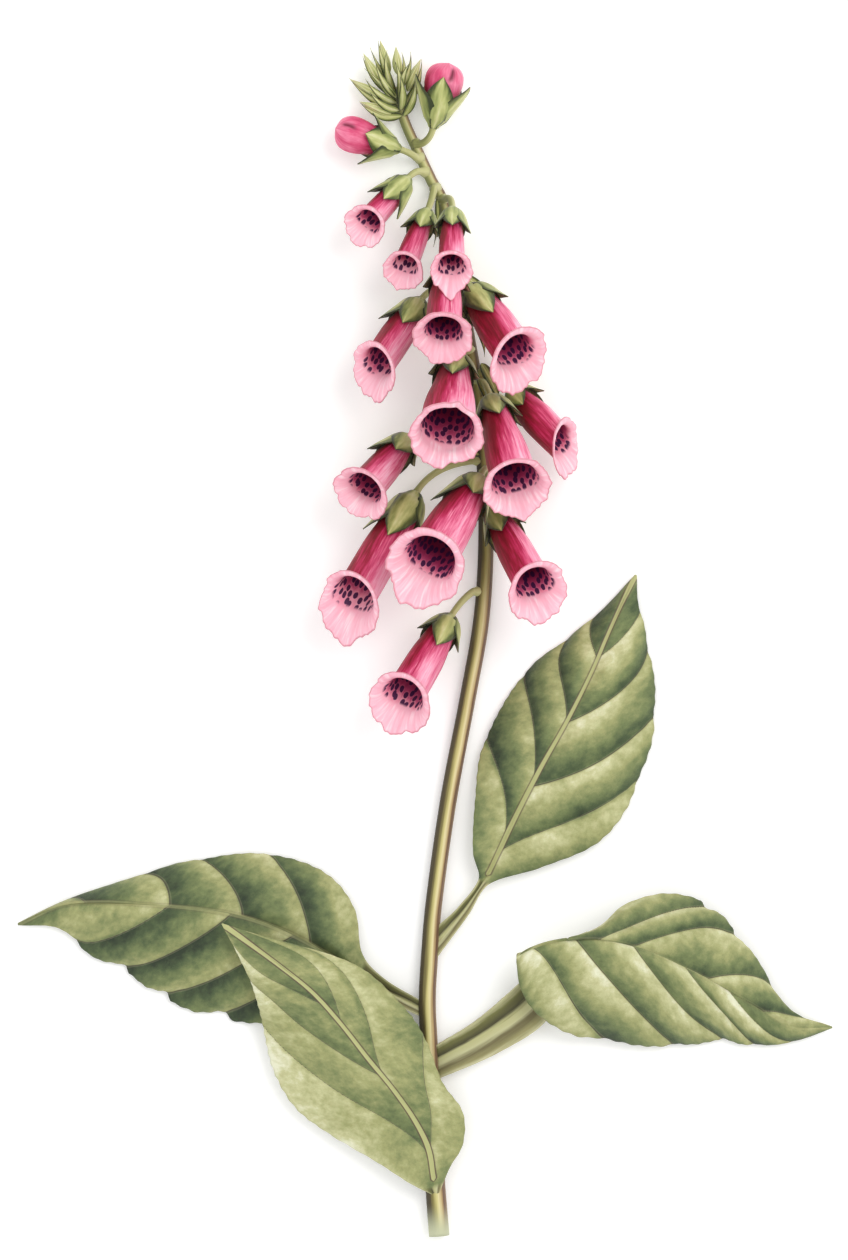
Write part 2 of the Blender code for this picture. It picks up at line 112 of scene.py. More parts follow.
# Leaves from the stem to the tip: left margin, midrib, right margin.
UPPER_RIGHT_LEAF = (
    ((7.6, -103.0, 4.6), (7.3, -109.0, 3.6), (6.9, -115.0, 4.4)),
    ((12.6, -95.8, 5.6), (14.0, -97.6, 4.6), (15.6, -99.4, 5.4)),
    ((19.4, -86.2, 6.6), (21.4, -86.8, 5.6), (23.6, -87.8, 6.2)),
    ((17.5, -76.0, 7.0), (26.5, -76.6, 7.0), (42.0, -82.0, 5.0)),
    ((18.3, -58.0, 6.0), (34.0, -61.0, 9.0), (62.8, -72.4, 3.0)),
    ((20.0, -41.0, 4.0), (42.0, -45.5, 11.0), (75.8, -55.4, 1.6)),
    ((27.2, -26.3, 2.0), (51.0, -29.5, 11.5), (82.2, -33.0, 1.2)),
    ((36.5, -11.4, 1.2), (59.5, -12.8, 10.0), (82.4, -13.0, 1.4)),
    ((51.0, -0.6, 1.2), (65.5, 1.0, 7.5), (79.2, 3.5, 2.0)),
    ((64.0, 10.5, 1.4), (71.0, 13.0, 4.5), (76.6, 14.0, 2.2)),
    ((75.8, 22.9, 1.8), (76.0, 23.0, 1.8), (76.2, 22.9, 1.8)),
)
LEFT_LEAF = (
    ((-3.2, -129.8, 4.2), (-3.4, -132.6, 3.4), (-3.2, -135.6, 4.0)),
    ((-14.0, -122.4, 4.6), (-14.6, -126.0, 3.8), (-15.2, -130.0, 4.4)),
    ((-22.6, -113.0, 4.0), (-24.4, -119.6, 5.0), (-29.0, -130.0, 3.0)),
    ((-25.5, -97.0, 3.0), (-36.0, -112.4, 7.0), (-45.0, -134.8, 2.0)),
    ((-35.0, -84.6, 2.4), (-50.0, -105.0, 8.6), (-60.3, -138.0, 1.4)),
    ((-52.0, -78.2, 2.0), (-66.0, -99.4, 9.6), (-77.0, -136.0, 1.2)),
    ((-70.0, -77.9, 2.0), (-83.0, -96.5, 10.0), (-94.0, -129.0, 1.2)),
    ((-88.4, -80.6, 2.0), (-100.0, -95.2, 9.4), (-106.5, -120.5, 1.4)),
    ((-111.1, -88.2, 2.0), (-116.0, -94.4, 7.4), (-120.0, -113.8, 1.6)),
    ((-129.0, -94.0, 2.0), (-131.0, -95.8, 4.6), (-132.0, -104.2, 1.8)),
    ((-146.2, -102.4, 2.0), (-146.3, -102.6, 2.0), (-146.2, -102.8, 2.0)),
)
FRONT_LEAF = (
    ((2.0, -199.4, 8.6), (3.9, -199.4, 8.4), (6.0, -199.0, 8.6)),
    ((-5.5, -195.0, 8.4), (3.0, -192.0, 9.0), (9.0, -189.5, 8.8)),
    ((-17.1, -187.6, 7.6), (1.3, -182.5, 10.4), (13.6, -181.0, 9.0)),
    ((-34.0, -178.0, 6.0), (-3.5, -172.5, 12.6), (13.5, -169.6, 9.6)),
    ((-46.0, -168.5, 5.4), (-11.0, -161.5, 15.0), (6.5, -159.0, 11.0)),
    ((-54.0, -155.0, 5.6), (-20.0, -150.5, 17.0), (0.5, -144.0, 12.0)),
    ((-57.5, -143.0, 7.4), (-29.5, -138.2, 18.4), (-6.5, -133.0, 13.0)),
    ((-59.4, -131.0, 10.6), (-40.0, -126.5, 19.0), (-20.0, -119.6, 14.0)),
    ((-62.3, -122.5, 13.0), (-51.5, -117.0, 19.0), (-35.0, -112.8, 15.0)),
    ((-67.5, -111.5, 15.4), (-62.0, -109.3, 18.0), (-55.0, -107.2, 16.4)),
    ((-72.4, -102.0, 16.0), (-72.5, -101.9, 16.0), (-72.3, -102.0, 16.0)),
)
LOWER_RIGHT_LEAF = (
    ((33.1, -112.6, 17.0), (32.9, -113.6, 18.0), (33.0, -115.6, 17.4)),
    ((39.0, -111.4, 16.0), (38.0, -110.4, 20.0), (34.8, -125.0, 16.0)),
    ((49.0, -108.6, 16.0), (46.0, -107.9, 22.4), (40.6, -134.0, 13.4)),
    ((62.4, -103.0, 16.6), (57.8, -106.6, 24.0), (52.5, -142.0, 9.4)),
    ((72.0, -95.4, 13.0), (67.8, -107.7, 24.0), (67.0, -145.0, 6.0)),
    ((87.0, -91.6, 10.0), (79.5, -111.2, 21.6), (82.0, -146.0, 3.6)),
    ((101.5, -94.6, 8.0), (91.0, -116.5, 18.0), (95.0, -146.0, 2.6)),
    ((111.6, -105.0, 7.0), (103.0, -122.6, 14.6), (107.0, -144.6, 2.4)),
    ((121.4, -118.4, 6.0), (117.0, -130.8, 10.6), (118.5, -145.8, 2.2)),
    ((131.4, -133.2, 4.6), (131.0, -138.8, 6.4), (132.5, -144.9, 2.4)),
    ((146.5, -139.6, 2.6), (146.6, -139.7, 2.6), (146.5, -139.8, 2.6)),
)
LOWER_RIGHT_STALK = (
    ((6.9, -146.0, 5.2), (7.1, -152.0, 3.6), (7.3, -158.2, 4.6)),
    ((18.0, -137.4, 6.6), (20.5, -143.0, 4.8), (25.0, -149.4, 5.8)),
    ((31.4, -126.0, 8.6), (36.2, -131.4, 6.6), (42.8, -138.0, 7.6)),
    ((39.0, -118.4, 12.4), (43.0, -121.4, 11.4), (47.4, -125.0, 11.4)),
    ((46.0, -113.0, 19.2), (48.6, -114.6, 19.0), (51.4, -116.4, 18.8)),
)

# ---- mesh tools


class Sheet:
    """A grid of points in millimetres, its texture coordinates and named values for points, rows or all."""

    def __init__(self, points, uv, wrap=False, **values):
        self.points, self.uv, self.wrap, self.values = points, uv, wrap, values


def add_object(name, data):
    found = bpy.data.objects.new(name, data)
    bpy.context.scene.collection.objects.link(found)
    return found


def add_piece(name, sheets, materials, replaces=(), thick=0.0, offset=0.0, inner=0):
    """One object from sheets. inner moves the inside and the rim of its thickness to a later material."""
    co, loops, uvs = [], [], []
    values = {key: [] for key in sheets[0].values}
    base = 0
    for sheet in sheets:
        rows, cols = sheet.points.shape[:2]
        spans = cols if sheet.wrap else cols - 1
        i, j = np.meshgrid(np.arange(rows - 1), np.arange(spans), indexing="ij")
        k = (j + 1) % cols
        corners = [i * cols + j, i * cols + k, (i + 1) * cols + k, (i + 1) * cols + j]
        loops.append(base + np.stack(corners, -1).reshape(-1, 4))
        corner_uvs = [sheet.uv[i, j], sheet.uv[i, j + 1], sheet.uv[i + 1, j + 1], sheet.uv[i + 1, j]]
        uvs.append(np.stack(corner_uvs, 2).reshape(-1, 2))
        co.append(sheet.points.reshape(-1, 3))
        for key, kept in values.items():
            kept.append(np.broadcast_to(sheet.values[key], (rows, cols)).ravel())
        base += rows * cols
    co, loops, uvs = MM * np.concatenate(co), np.concatenate(loops), np.concatenate(uvs)
    mesh = bpy.data.meshes.new(name)
    mesh.vertices.add(len(co))
    mesh.vertices.foreach_set("co", co.ravel())
    mesh.loops.add(loops.size)
    mesh.loops.foreach_set("vertex_index", loops.ravel())
    mesh.polygons.add(len(loops))
    mesh.polygons.foreach_set("loop_start", np.arange(0, loops.size, 4))
    mesh.uv_layers.new(name="UVMap").data.foreach_set("uv", uvs.ravel())
    for key, kept in values.items():
        mesh.attributes.new(key, "FLOAT", "POINT").data.foreach_set("value", np.concatenate(kept))
    mesh.update(calc_edges=True)
    mesh.validate()
    mesh.shade_smooth()
    for material in materials:
        mesh.materials.append(material)
    piece = add_object(name, mesh)
    if thick:
        shell = piece.modifiers.new("Thickness", "SOLIDIFY")
        shell.thickness = thick * MM
        shell.offset = offset
        shell.material_offset = inner
        shell.material_offset_rim = inner
    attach(piece, "root")
    if replaces:
        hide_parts(*replaces)
    return piece


def smooth_through(stations, per_span):
    """Points of a Catmull-Rom curve through the stations."""
    points = np.array(stations, float)
    ends = np.concatenate([2 * points[:1] - points[1:2], points, 2 * points[-1:] - points[-2:-1]])
    found = []
    for i in range(len(points) - 1):
        a, b, c, d = ends[i : i + 4]
        for t in np.arange(per_span) / per_span:
            cubic = 2 * a - 5 * b + 4 * c - d + t * (3 * (b - c) + d - a)
            found.append(b + 0.5 * t * ((c - a) + t * cubic))
    found.append(points[-1])
    return np.array(found)


def run_lengths(path):
    """How far along a path each of its points lies."""
    return np.concatenate([[0.0], np.cumsum(np.linalg.norm(np.diff(path, axis=0), axis=1))])


def grid(rows, cols):
    """s from 0 to 1 along a sheet and t from -1 to 1 across it."""
    return np.meshgrid(np.linspace(0, 1, rows), np.linspace(-1, 1, cols), indexing="ij")


def unit(vectors):
    return vectors / np.linalg.norm(vectors, axis=-1, keepdims=True)


def smoothstep(x, low, high):
    t = np.clip((x - low) / (high - low), 0.0, 1.0)
    return t * t * (3 - 2 * t)


def hill(x, span):
    """1 at 0, falling smoothly to about a third at span."""
    return np.exp(-((x / span) ** 2))


CAP_RING = 0.9  # the radius of a rod's outermost ring, as a share of the rod's
CAP_POINT = 1e-3  # the radius in mm of the ring that closes it
ROD_RIBS = 7


def tube(path, radii, sides, ribs, seed=0.0):
    """A ribbed closed rod along a path, with named values: along (0 to 1) and turn (-1 left to 1 right)."""
    path, radii = np.array(path, float), np.array(radii, float)
    path = np.concatenate([path[:1], path[:1], path, path[-1:], path[-1:]])
    radii = np.concatenate([[CAP_POINT], radii[:1] * CAP_RING, radii, radii[-1:] * CAP_RING, [CAP_POINT]])
    tangent = np.gradient(path, axis=0)
    tangent[:3] = tangent[3]
    tangent[-3:] = tangent[-4]
    tangent = unit(tangent)
    side = unit(np.cross(tangent, UP) + TINY)
    up = np.cross(side, tangent)
    angle = np.linspace(0.0, math.tau, sides + 1)
    reach = radii[:, None] * (1 + ribs * np.cos(ROD_RIBS * angle))
    points = (
        path[:, None]
        + (reach * np.cos(angle))[..., None] * side[:, None]
        + (reach * np.sin(angle))[..., None] * up[:, None]
    )
    steps = run_lengths(path)
    uv = CM_PER_MM * np.stack(np.broadcast_arrays(radii.mean() * angle, steps[:, None]), -1)
    across = (points[..., 0] - path[:, None, 0]) / radii[:, None]
    # Columns run clockwise seen from the far end, so they are reversed to face outward.
    return Sheet(
        points[:, :-1][:, ::-1], uv[:, ::-1], wrap=True, along=(steps / steps[-1])[:, None],
        turn=np.clip(across, -1, 1)[:, :-1][:, ::-1], seed=seed,
    )


# ---- material tools


MID = 0.5  # the middle of a noise
SEED_SPREAD = 7.31  # how far one seed lies from the next in a noise
SHEEN_ROUGHNESS = 0.5
GLOSS = 0.35
FLESH_COLOUR = (1.0, 0.35, 0.4)
FLESH_DEPTH = 0.0015
FINE_RELIEF = 0.0003


def fill(node, **values):
    """Set a node's inputs by name, with _ for each blank."""
    for name, value in values.items():
        node.inputs[name.replace("_", " ")].default_value = value


class Nodes:
    """A short way to write a material's nodes."""

    def __init__(self, name):
        self.material = bpy.data.materials.new(name)
        self.material.use_nodes = True
        self.tree = self.material.node_tree
        self.shader = self.tree.nodes["Principled BSDF"]

    def add(self, kind, **settings):
        node = self.tree.nodes.new(kind)
        for key, value in settings.items():
            setattr(node, key, value)
        return node

    def put(self, socket, value):
        if isinstance(value, bpy.types.NodeSocket):
            self.tree.links.new(value, socket)
        else:
            socket.default_value = value

    def value(self, name):
        return self.add("ShaderNodeAttribute", attribute_name=name).outputs["Fac"]

    def math(self, operation, a, b=0.0, clamp=False):
        node = self.add("ShaderNodeMath", operation=operation, use_clamp=clamp)
        self.put(node.inputs[0], a)
        self.put(node.inputs[1], b)
        return node.outputs[0]

    def times(self, a, b):
        return self.math("MULTIPLY", a, b)

    def plus(self, a, b, weight, middle=0.0, clamp=False):
        """a + weight * (b - middle)."""
        if middle:
            b = self.math("SUBTRACT", b, middle)
        return self.math("ADD", a, self.times(b, weight), clamp)

    def tone(self, base, *terms):
        """base and each (value, weight, middle) added up, held between 0 and 1."""
        for term in terms[:-1]:
            base = self.plus(base, *term)
        return self.plus(base, *terms[-1], clamp=True)

    def step(self, a, low, high):
        """0 below low, 1 above high, smooth between; low may be the larger one."""
        node = self.add("ShaderNodeMapRange", interpolation_type="SMOOTHSTEP")
        self.put(node.inputs["Value"], a)
        rises = float(low < high)
        fill(node, From_Min=min(low, high), From_Max=max(low, high), To_Min=1.0 - rises, To_Max=rises)
        return node.outputs["Result"]

    def uv(self, x=1.0, y=1.0):
        """The texture coordinate in centimetres, stretched, and pushed apart by the piece's seed."""
        node = self.add("ShaderNodeUVMap", uv_map="UVMap")
        scaled = self.add("ShaderNodeVectorMath", operation="MULTIPLY")
        self.put(scaled.inputs[0], node.outputs[0])
        scaled.inputs[1].default_value = (x, y, 1.0)
        moved = self.add("ShaderNodeCombineXYZ")
        self.put(moved.inputs["Z"], self.times(self.value("seed"), SEED_SPREAD))
        both = self.add("ShaderNodeVectorMath", operation="ADD")
        self.put(both.inputs[0], scaled.outputs[0])
        self.put(both.inputs[1], moved.outputs[0])
        return both.outputs[0]

    def noise(self, x, y, detail=2.0, rough=0.5):
        """Noise with about x by y grains to the centimetre."""
        node = self.add("ShaderNodeTexNoise")
        self.put(node.inputs["Vector"], self.uv(x, y))
        fill(node, Scale=1.0, Detail=detail, Roughness=rough)
        return node.outputs[0]

    def ramp(self, factor, stops):
        node = self.add("ShaderNodeValToRGB")
        self.put(node.inputs["Fac"], factor)
        band = node.color_ramp
        while len(band.elements) < len(stops):
            band.elements.new(0.5)
        for element, (place, colour) in zip(band.elements, stops):
            element.position = place
            element.color = (*colour, 1.0)
        return node.outputs["Color"]

    def mix(self, factor, a, b, blend="MIX"):
        node = self.add("ShaderNodeMix", data_type="RGBA", blend_type=blend)
        self.put(node.inputs["Factor"], factor)
        colours = [s for s in node.inputs if s.type == "RGBA"]
        for socket, value in zip(colours, (a, b)):
            self.put(socket, (*value, 1.0) if isinstance(value, tuple) else value)
        return [s for s in node.outputs if s.type == "RGBA"][0]

    def tinge(self, colour, mask, strength, other):
        """The colour, moved towards another by strength where mask is 1."""
        return self.mix(self.times(mask, strength), colour, other)

    def bump(self, height, strength, distance=FINE_RELIEF):
        node = self.add("ShaderNodeBump")
        fill(node, Strength=strength, Distance=distance)
        self.put(node.inputs["Height"], height)
        self.put(self.shader.inputs["Normal"], node.outputs["Normal"])

    def finish(self, colour, roughness, sheen=0.0, through=0.0):
        self.put(self.shader.inputs["Base Color"], colour)
        self.put(self.shader.inputs["Roughness"], roughness)
        fill(self.shader, Sheen_Weight=sheen, Sheen_Roughness=SHEEN_ROUGHNESS, Specular_IOR_Level=GLOSS)
        if through:
            fill(self.shader, Subsurface_Weight=through, Subsurface_Radius=FLESH_COLOUR)
            fill(self.shader, Subsurface_Scale=FLESH_DEPTH)
        return self.material


def petal_outside():
    """Crimson at the calyx, with painted shade down the left and painted light to the right, paler to the
    rim, in streaks along the tube.
    """
    m = Nodes("petal_outside")
    along, turn = m.value("along"), m.value("turn")
    broad = m.noise(2.6, 0.45)
    fine = m.noise(11.0, 1.0, detail=3.0, rough=0.62)
    lines = m.noise(24.0, 0.7, detail=1.0)
    # Which way the surface faces paints shade down the left of each tube and light to the right.
    right = m.step(turn, -0.60, 0.65)
    tone = m.tone(-0.25, (along, 0.56), (right, 0.65), (broad, 0.85, MID), (fine, 0.80, MID))
    colour = m.ramp(tone, (
        (0.00, (0.17, 0.001, 0.010)), (0.16, (0.29, 0.002, 0.026)), (0.34, (0.47, 0.016, 0.085)),
        (0.54, (0.68, 0.090, 0.210)), (0.74, (0.84, 0.230, 0.370)), (1.00, (0.94, 0.48, 0.61)),
    ))
    # Pale streaks along the tube, only where the tone is light: streaky colour that also serves as painted
    # highlight on the painted-lit side.
    pale = m.times(m.step(lines, 0.60, 0.72), m.step(tone, 0.35, 0.70))
    colour = m.tinge(colour, pale, 0.60, (0.97, 0.66, 0.73))
    rim = m.step(along, 0.90, 0.985)
    colour = m.tinge(colour, rim, 0.7, (0.93, 0.50, 0.60))
    m.bump(fine, strength=0.35)
    return m.finish(colour, roughness=0.55, sheen=0.03, through=0.08)


def petal_inside():
    """Pale rolled lip with painted highlight strokes, a crimson throat darkened inward by painted shade, and
    dark spots with pale rings below.
    """
    m = Nodes("petal_inside")
    depth, low = m.value("depth"), m.value("low")
    broad = m.noise(2.2, 1.0)
    fine = m.noise(9.0, 1.3, detail=3.0, rough=0.6)
    # The lower lip's pale part reaches further in than the upper's, so the painted throat shade begins deeper
    # there.
    inward = m.plus(depth, m.math("POWER", low, 3.0), -0.13)
    # Each flower's own painted shade, added to the throat past the lip.
    deeper = m.times(m.value("throat_shade"), m.step(inward, 0.08, 0.25))
    tone = m.tone(inward, (broad, 0.16, MID), (fine, 0.14, MID), (deeper, 1.0))
    # The throat darkens inward from the pale lip to near black: crimson colour deepened by painted shade in
    # the hollow.
    colour = m.ramp(tone, (
        (0.00, (0.91, 0.49, 0.58)), (0.09, (0.89, 0.42, 0.52)), (0.155, (0.81, 0.25, 0.36)),
        (0.215, (0.59, 0.092, 0.21)), (0.32, (0.40, 0.034, 0.125)), (0.46, (0.22, 0.010, 0.055)),
        (1.00, (0.09, 0.003, 0.020)),
    ))
    lip = m.step(inward, 0.12, 0.04)
    # Near-white strokes on the lip are painted highlights.
    light = m.times(m.step(fine, 0.50, 0.68), lip)
    colour = m.tinge(colour, light, 0.55, (0.99, 0.80, 0.83))
    dark = m.times(m.step(fine, 0.50, 0.34), lip)
    colour = m.tinge(colour, dark, 0.50, (0.84, 0.33, 0.43))
    cells = m.add("ShaderNodeTexVoronoi", voronoi_dimensions="2D", feature="F1")
    m.put(cells.inputs["Vector"], m.uv(3.9, 3.0))
    fill(cells, Scale=1.0, Randomness=0.60)
    apart = m.plus(cells.outputs["Distance"], m.noise(6.0, 6.0, detail=1.0), 0.22, MID)
    place = m.times(m.step(inward, 0.085, 0.125), m.step(low, 0.20, 0.34))
    ring = m.times(m.step(apart, 0.58, 0.40), place)
    ring = m.times(ring, m.step(tone, 0.40, 0.16))
    colour = m.tinge(colour, ring, 0.25, (0.86, 0.42, 0.52))
    spot = m.times(m.step(apart, 0.41, 0.34), place)
    colour = m.tinge(colour, spot, 0.97, (0.040, 0.004, 0.052))
    rim = m.step(depth, 0.014, 0.004)
    colour = m.tinge(colour, rim, 0.65, (0.62, 0.20, 0.26))
    m.bump(fine, strength=0.25)
    return m.finish(colour, roughness=0.55, sheen=0.02, through=0.08)


def bud_petal():
    """Crimson by the sepals and pink at the tip, with painted shade down the left and painted shade in its
    crease.
    """
    m = Nodes("bud_petal")
    fine = m.noise(9.0, 1.2, detail=3.0, rough=0.6)
    broad = m.noise(3.0, 1.6)
    along, turn = m.value("along"), m.value("turn")
    # turn paints shade down the left of the bud and light on the right.
    tone = m.tone(0.0, (along, 0.45), (turn, 0.22), (broad, 0.9, MID), (fine, 0.7, 0.45))
    colour = m.ramp(tone, (
        (0.0, (0.40, 0.006, 0.050)), (0.35, (0.66, 0.070, 0.180)), (0.7, (0.84, 0.24, 0.37)),
        (1.0, (0.93, 0.48, 0.58)),
    ))
    # Painted shade in the crease near the tip.
    colour = m.mix(m.value("fold"), colour, (0.16, 0.006, 0.03))
    m.bump(fine, strength=0.3)
    return m.finish(colour, roughness=0.5, sheen=0.04, through=0.10)


def sepal_green(name, lift):
    """Green with a paler raised middle as a painted highlight, dark edges, painted shade on the left and
    faint lengthwise veins; lift makes it paler.
    """
    m = Nodes(name)
    across = m.value("across")
    fine = m.noise(9.0, 1.6, detail=3.0, rough=0.6)
    broad = m.noise(2.5, 1.2)
    veins = m.math("SINE", m.times(across, 12.5))
    # The paler middle is a painted highlight along the raised keel; turn in the tone below paints shade on
    # the left and light on the right.
    middle = m.math("SUBTRACT", 1.0, m.math("POWER", m.math("ABSOLUTE", across), 1.6))
    tone = m.tone(
        lift - 0.15, (middle, 0.84), (m.value("along"), lift, 0.4), (veins, 0.06), (fine, 0.55, MID),
        (broad, 0.7, MID), (m.value("turn"), 0.12),
    )
    colour = m.ramp(tone, (
        (0.0, (0.028, 0.040, 0.008)), (0.24, (0.095, 0.120, 0.025)), (0.46, (0.26, 0.300, 0.085)),
        (0.70, (0.48, 0.50, 0.185)), (1.0, (0.70, 0.69, 0.38)),
    ))
    m.bump(m.plus(fine, veins, 0.5), strength=0.4)
    return m.finish(colour, roughness=0.55, sheen=0.2, through=0.06)


def stem_green():
    """Yellow green, with painted shade down the left, a painted highlight just right of the middle, a brown
    line down the right, and painted shade inside the spike.
    """
    m = Nodes("stem_green")
    along = m.value("along")
    fibre = m.noise(14.0, 0.35, detail=3.0, rough=0.6)
    patch = m.noise(1.0, 0.25)
    # turn paints shade down the left and a highlight just right of the middle.
    tone = m.tone(0.5, (m.value("turn"), 0.48), (fibre, 0.22, MID), (patch, 0.22, MID))
    colour = m.ramp(tone, (
        (0.00, (0.036, 0.026, 0.010)), (0.24, (0.070, 0.052, 0.017)), (0.38, (0.25, 0.215, 0.065)),
        (0.51, (0.56, 0.50, 0.20)), (0.63, (0.70, 0.62, 0.33)), (0.75, (0.44, 0.31, 0.145)),
        (0.86, (0.13, 0.060, 0.030)), (1.00, (0.26, 0.17, 0.085)),
    ))
    # Painted shade where the stem runs inside the spike, between the flowers.
    shaded = m.times(m.step(along, 0.525, 0.575), m.step(along, 0.93, 0.84))
    colour = m.mix(m.times(shaded, 0.80), colour, (0.34, 0.36, 0.20), "MULTIPLY")
    young = m.times(m.step(along, 0.84, 0.92), m.step(tone, 0.95, 0.45))
    colour = m.tinge(colour, young, 0.55, (0.32, 0.36, 0.13))
    cut_end = m.step(along, 0.03, 0.0)
    colour = m.mix(cut_end, colour, (0.50, 0.52, 0.34))
    m.bump(fibre, strength=0.5, distance=0.0004)
    return m.finish(colour, roughness=0.5, sheen=0.1)


def stalk_green():
    """Yellow green, with painted shade on the left and painted light on the right, and fine fibres."""
    m = Nodes("stalk_green")
    fibre = m.noise(14.0, 0.8, detail=3.0, rough=0.6)
    # turn paints shade on the left and light on the right.
    tone = m.tone(0.5, (m.value("turn"), 0.35), (fibre, 0.5, MID))
    colour = m.ramp(tone, (
        (0.0, (0.10, 0.10, 0.03)), (0.35, (0.26, 0.27, 0.09)), (0.65, (0.50, 0.49, 0.22)),
        (1.0, (0.62, 0.58, 0.32)),
    ))
    m.bump(fibre, strength=0.4)
    return m.finish(colour, roughness=0.5, sheen=0.15)


def leaf_green():
    """Olive blade with painted shade just beyond each side vein and a painted highlight towards the next,
    painted shade in the sunken veins, a pale midrib and fine netting. Where the blade narrows to a stalk it
    turns to lengthwise stripes of painted shade and highlight."""
    m = Nodes("leaf_green")
    rib, keel = m.value("rib"), m.value("keel")
    band = m.math("FRACT", m.value("phase"))
    near = m.math("MINIMUM", band, m.math("SUBTRACT", 1.0, band))
    gap = m.times(near, m.value("spacing"))
    strokes = m.noise(3.0, 3.0, detail=3.0, rough=0.62)
    broad = m.noise(0.55, 0.55)
    net = m.add("ShaderNodeTexVoronoi", feature="DISTANCE_TO_EDGE")
    m.put(net.inputs["Vector"], m.uv(4.0, 4.0))
    net_line = m.step(net.outputs["Distance"], 0.0, 0.10)
    # swell paints shade just beyond each side vein and a highlight towards the next; quilt sets its strength.
    swell = m.plus(m.times(m.step(band, 0.02, 0.50), 0.5), m.step(band, 0.42, 0.92), 0.5)
    swell = m.plus(swell, m.step(band, 0.95, 1.0), -0.35)
    tone = m.tone(
        -0.10, (m.times(swell, m.value("quilt")), 0.55), (m.value("tint"), 0.62), (strokes, 0.50, MID),
        (broad, 0.60, MID), (net_line, 0.05, 1.0),
    )
    colour = m.ramp(tone, (
        (0.00, (0.022, 0.036, 0.016)), (0.20, (0.066, 0.098, 0.038)), (0.42, (0.165, 0.205, 0.076)),
        (0.64, (0.345, 0.355, 0.145)), (0.84, (0.56, 0.56, 0.30)), (1.00, (0.77, 0.77, 0.57)),
    ))
    colour = m.tinge(colour, m.step(gap, 0.9, 0.5), 0.12, (0.60, 0.58, 0.34))
    # A dark line along each sunken vein: painted shade in the furrow.
    colour = m.tinge(colour, m.step(gap, 0.42, 0.20), 0.75, (0.055, 0.045, 0.028))
    beside_rib = m.times(m.step(rib, 1.7, 1.15), keel)
    colour = m.tinge(colour, beside_rib, 0.75, (0.10, 0.062, 0.045))
    on_rib = m.times(m.step(rib, 1.15, 0.8), keel)
    colour = m.tinge(colour, on_rib, 0.9, (0.47, 0.48, 0.21))
    # On the stalk, lengthwise stripes of painted shade and highlight stand in for furrows that the mesh does
    # not have.
    place = m.plus(m.plus(0.5, m.noise(8.0, 0.5, detail=3.0), 0.22, MID), m.value("across"), 0.5)
    painted_stalk_stripes = m.ramp(place, (
        (0.00, (0.50, 0.49, 0.27)), (0.14, (0.15, 0.15, 0.045)), (0.36, (0.060, 0.055, 0.022)),
        (0.47, (0.47, 0.46, 0.22)), (0.62, (0.52, 0.51, 0.28)), (0.74, (0.15, 0.13, 0.055)),
        (0.90, (0.30, 0.28, 0.12)), (1.00, (0.56, 0.54, 0.32)),
    ))
    colour = m.mix(m.step(m.value("blade"), 0.7, 0.2), colour, painted_stalk_stripes)
    m.bump(m.plus(m.times(net_line, 0.6), strokes, 0.6), strength=0.35, distance=0.0005)
    return m.finish(colour, roughness=0.55, sheen=0.06, through=0.04)


# ---- flowers


def flower_axes(start, end, facing):
    """Length, origin, the three axes (across, upper lip, along the tube) and the slant of the mouth."""
    axis = Vector(end) - Vector(start)
    length = axis.length
    axis.normalize()
    look = Vector((facing[0], facing[1], math.sqrt(1 - facing[0] ** 2 - facing[1] ** 2)))
    slant = axis.angle(look)
    upper = (look - look.dot(axis) * axis).normalized()
    across = upper.cross(axis)
    return length, np.array(start), np.array((across, upper, axis)), slant


def placed(local, origin, axes):
    return origin + local @ axes


def toward(psi, axes):
    """How far each direction round a tube points to the right, -1 to 1."""
    return (np.stack([np.sin(psi), -np.cos(psi), 0 * psi], -1) @ axes)[..., 0]


BELL_PROFILE = smooth_through(np.stack([BELL_LENGTHS, BELL_RADII], 1), 12)
BELL_START = 0.6  # how far past its start point a tube begins, in mm
BELL_ROWS, TUBE_ROWS, BELL_COLS = 84, 40, 144
FINE_FROM = 0.80  # TUBE_ROWS lie below this share of the length, and the rest above
# How many waves go round the rim, how deep they are, and which random phase moves them (the last is 0).
RIM_WAVES = (
    (5, 0.022, -1), (2, 0.020, 3), (3, 0.018, 4), (8, 0.020, 0),
    (13, 0.014, 1), (21, 0.010, 2), (34, 0.006, 0),
)
FLARE_FROM = 0.86  # share of the length where the rim begins
LOW_SPAN, POINT_SPAN, PEAK_SPAN = 0.7, 0.25, 0.13  # radians either way from the middle of a lip
TUBE_LOBES, TUBE_LOBE_DEPTH = 5, 0.020
WAVE_RISE = 0.9  # how much of a wave's depth also moves the rim along the tube
ROLL_FROM, ROLL_BACK = 0.955, 0.075
MEAN_GIRTH = 0.72  # a tube's mean radius as a share of its mouth's, for its texture
DEPTH_SCALE = 2.6


def bell_radius(share):
    """The tube's radius at a share of its length, with a rounded closed end."""
    radius = np.interp(share, BELL_PROFILE[:, 0], BELL_PROFILE[:, 1])
    return radius * np.sqrt(np.clip(share / BELL_LENGTHS[0], 0.0, 1.0))


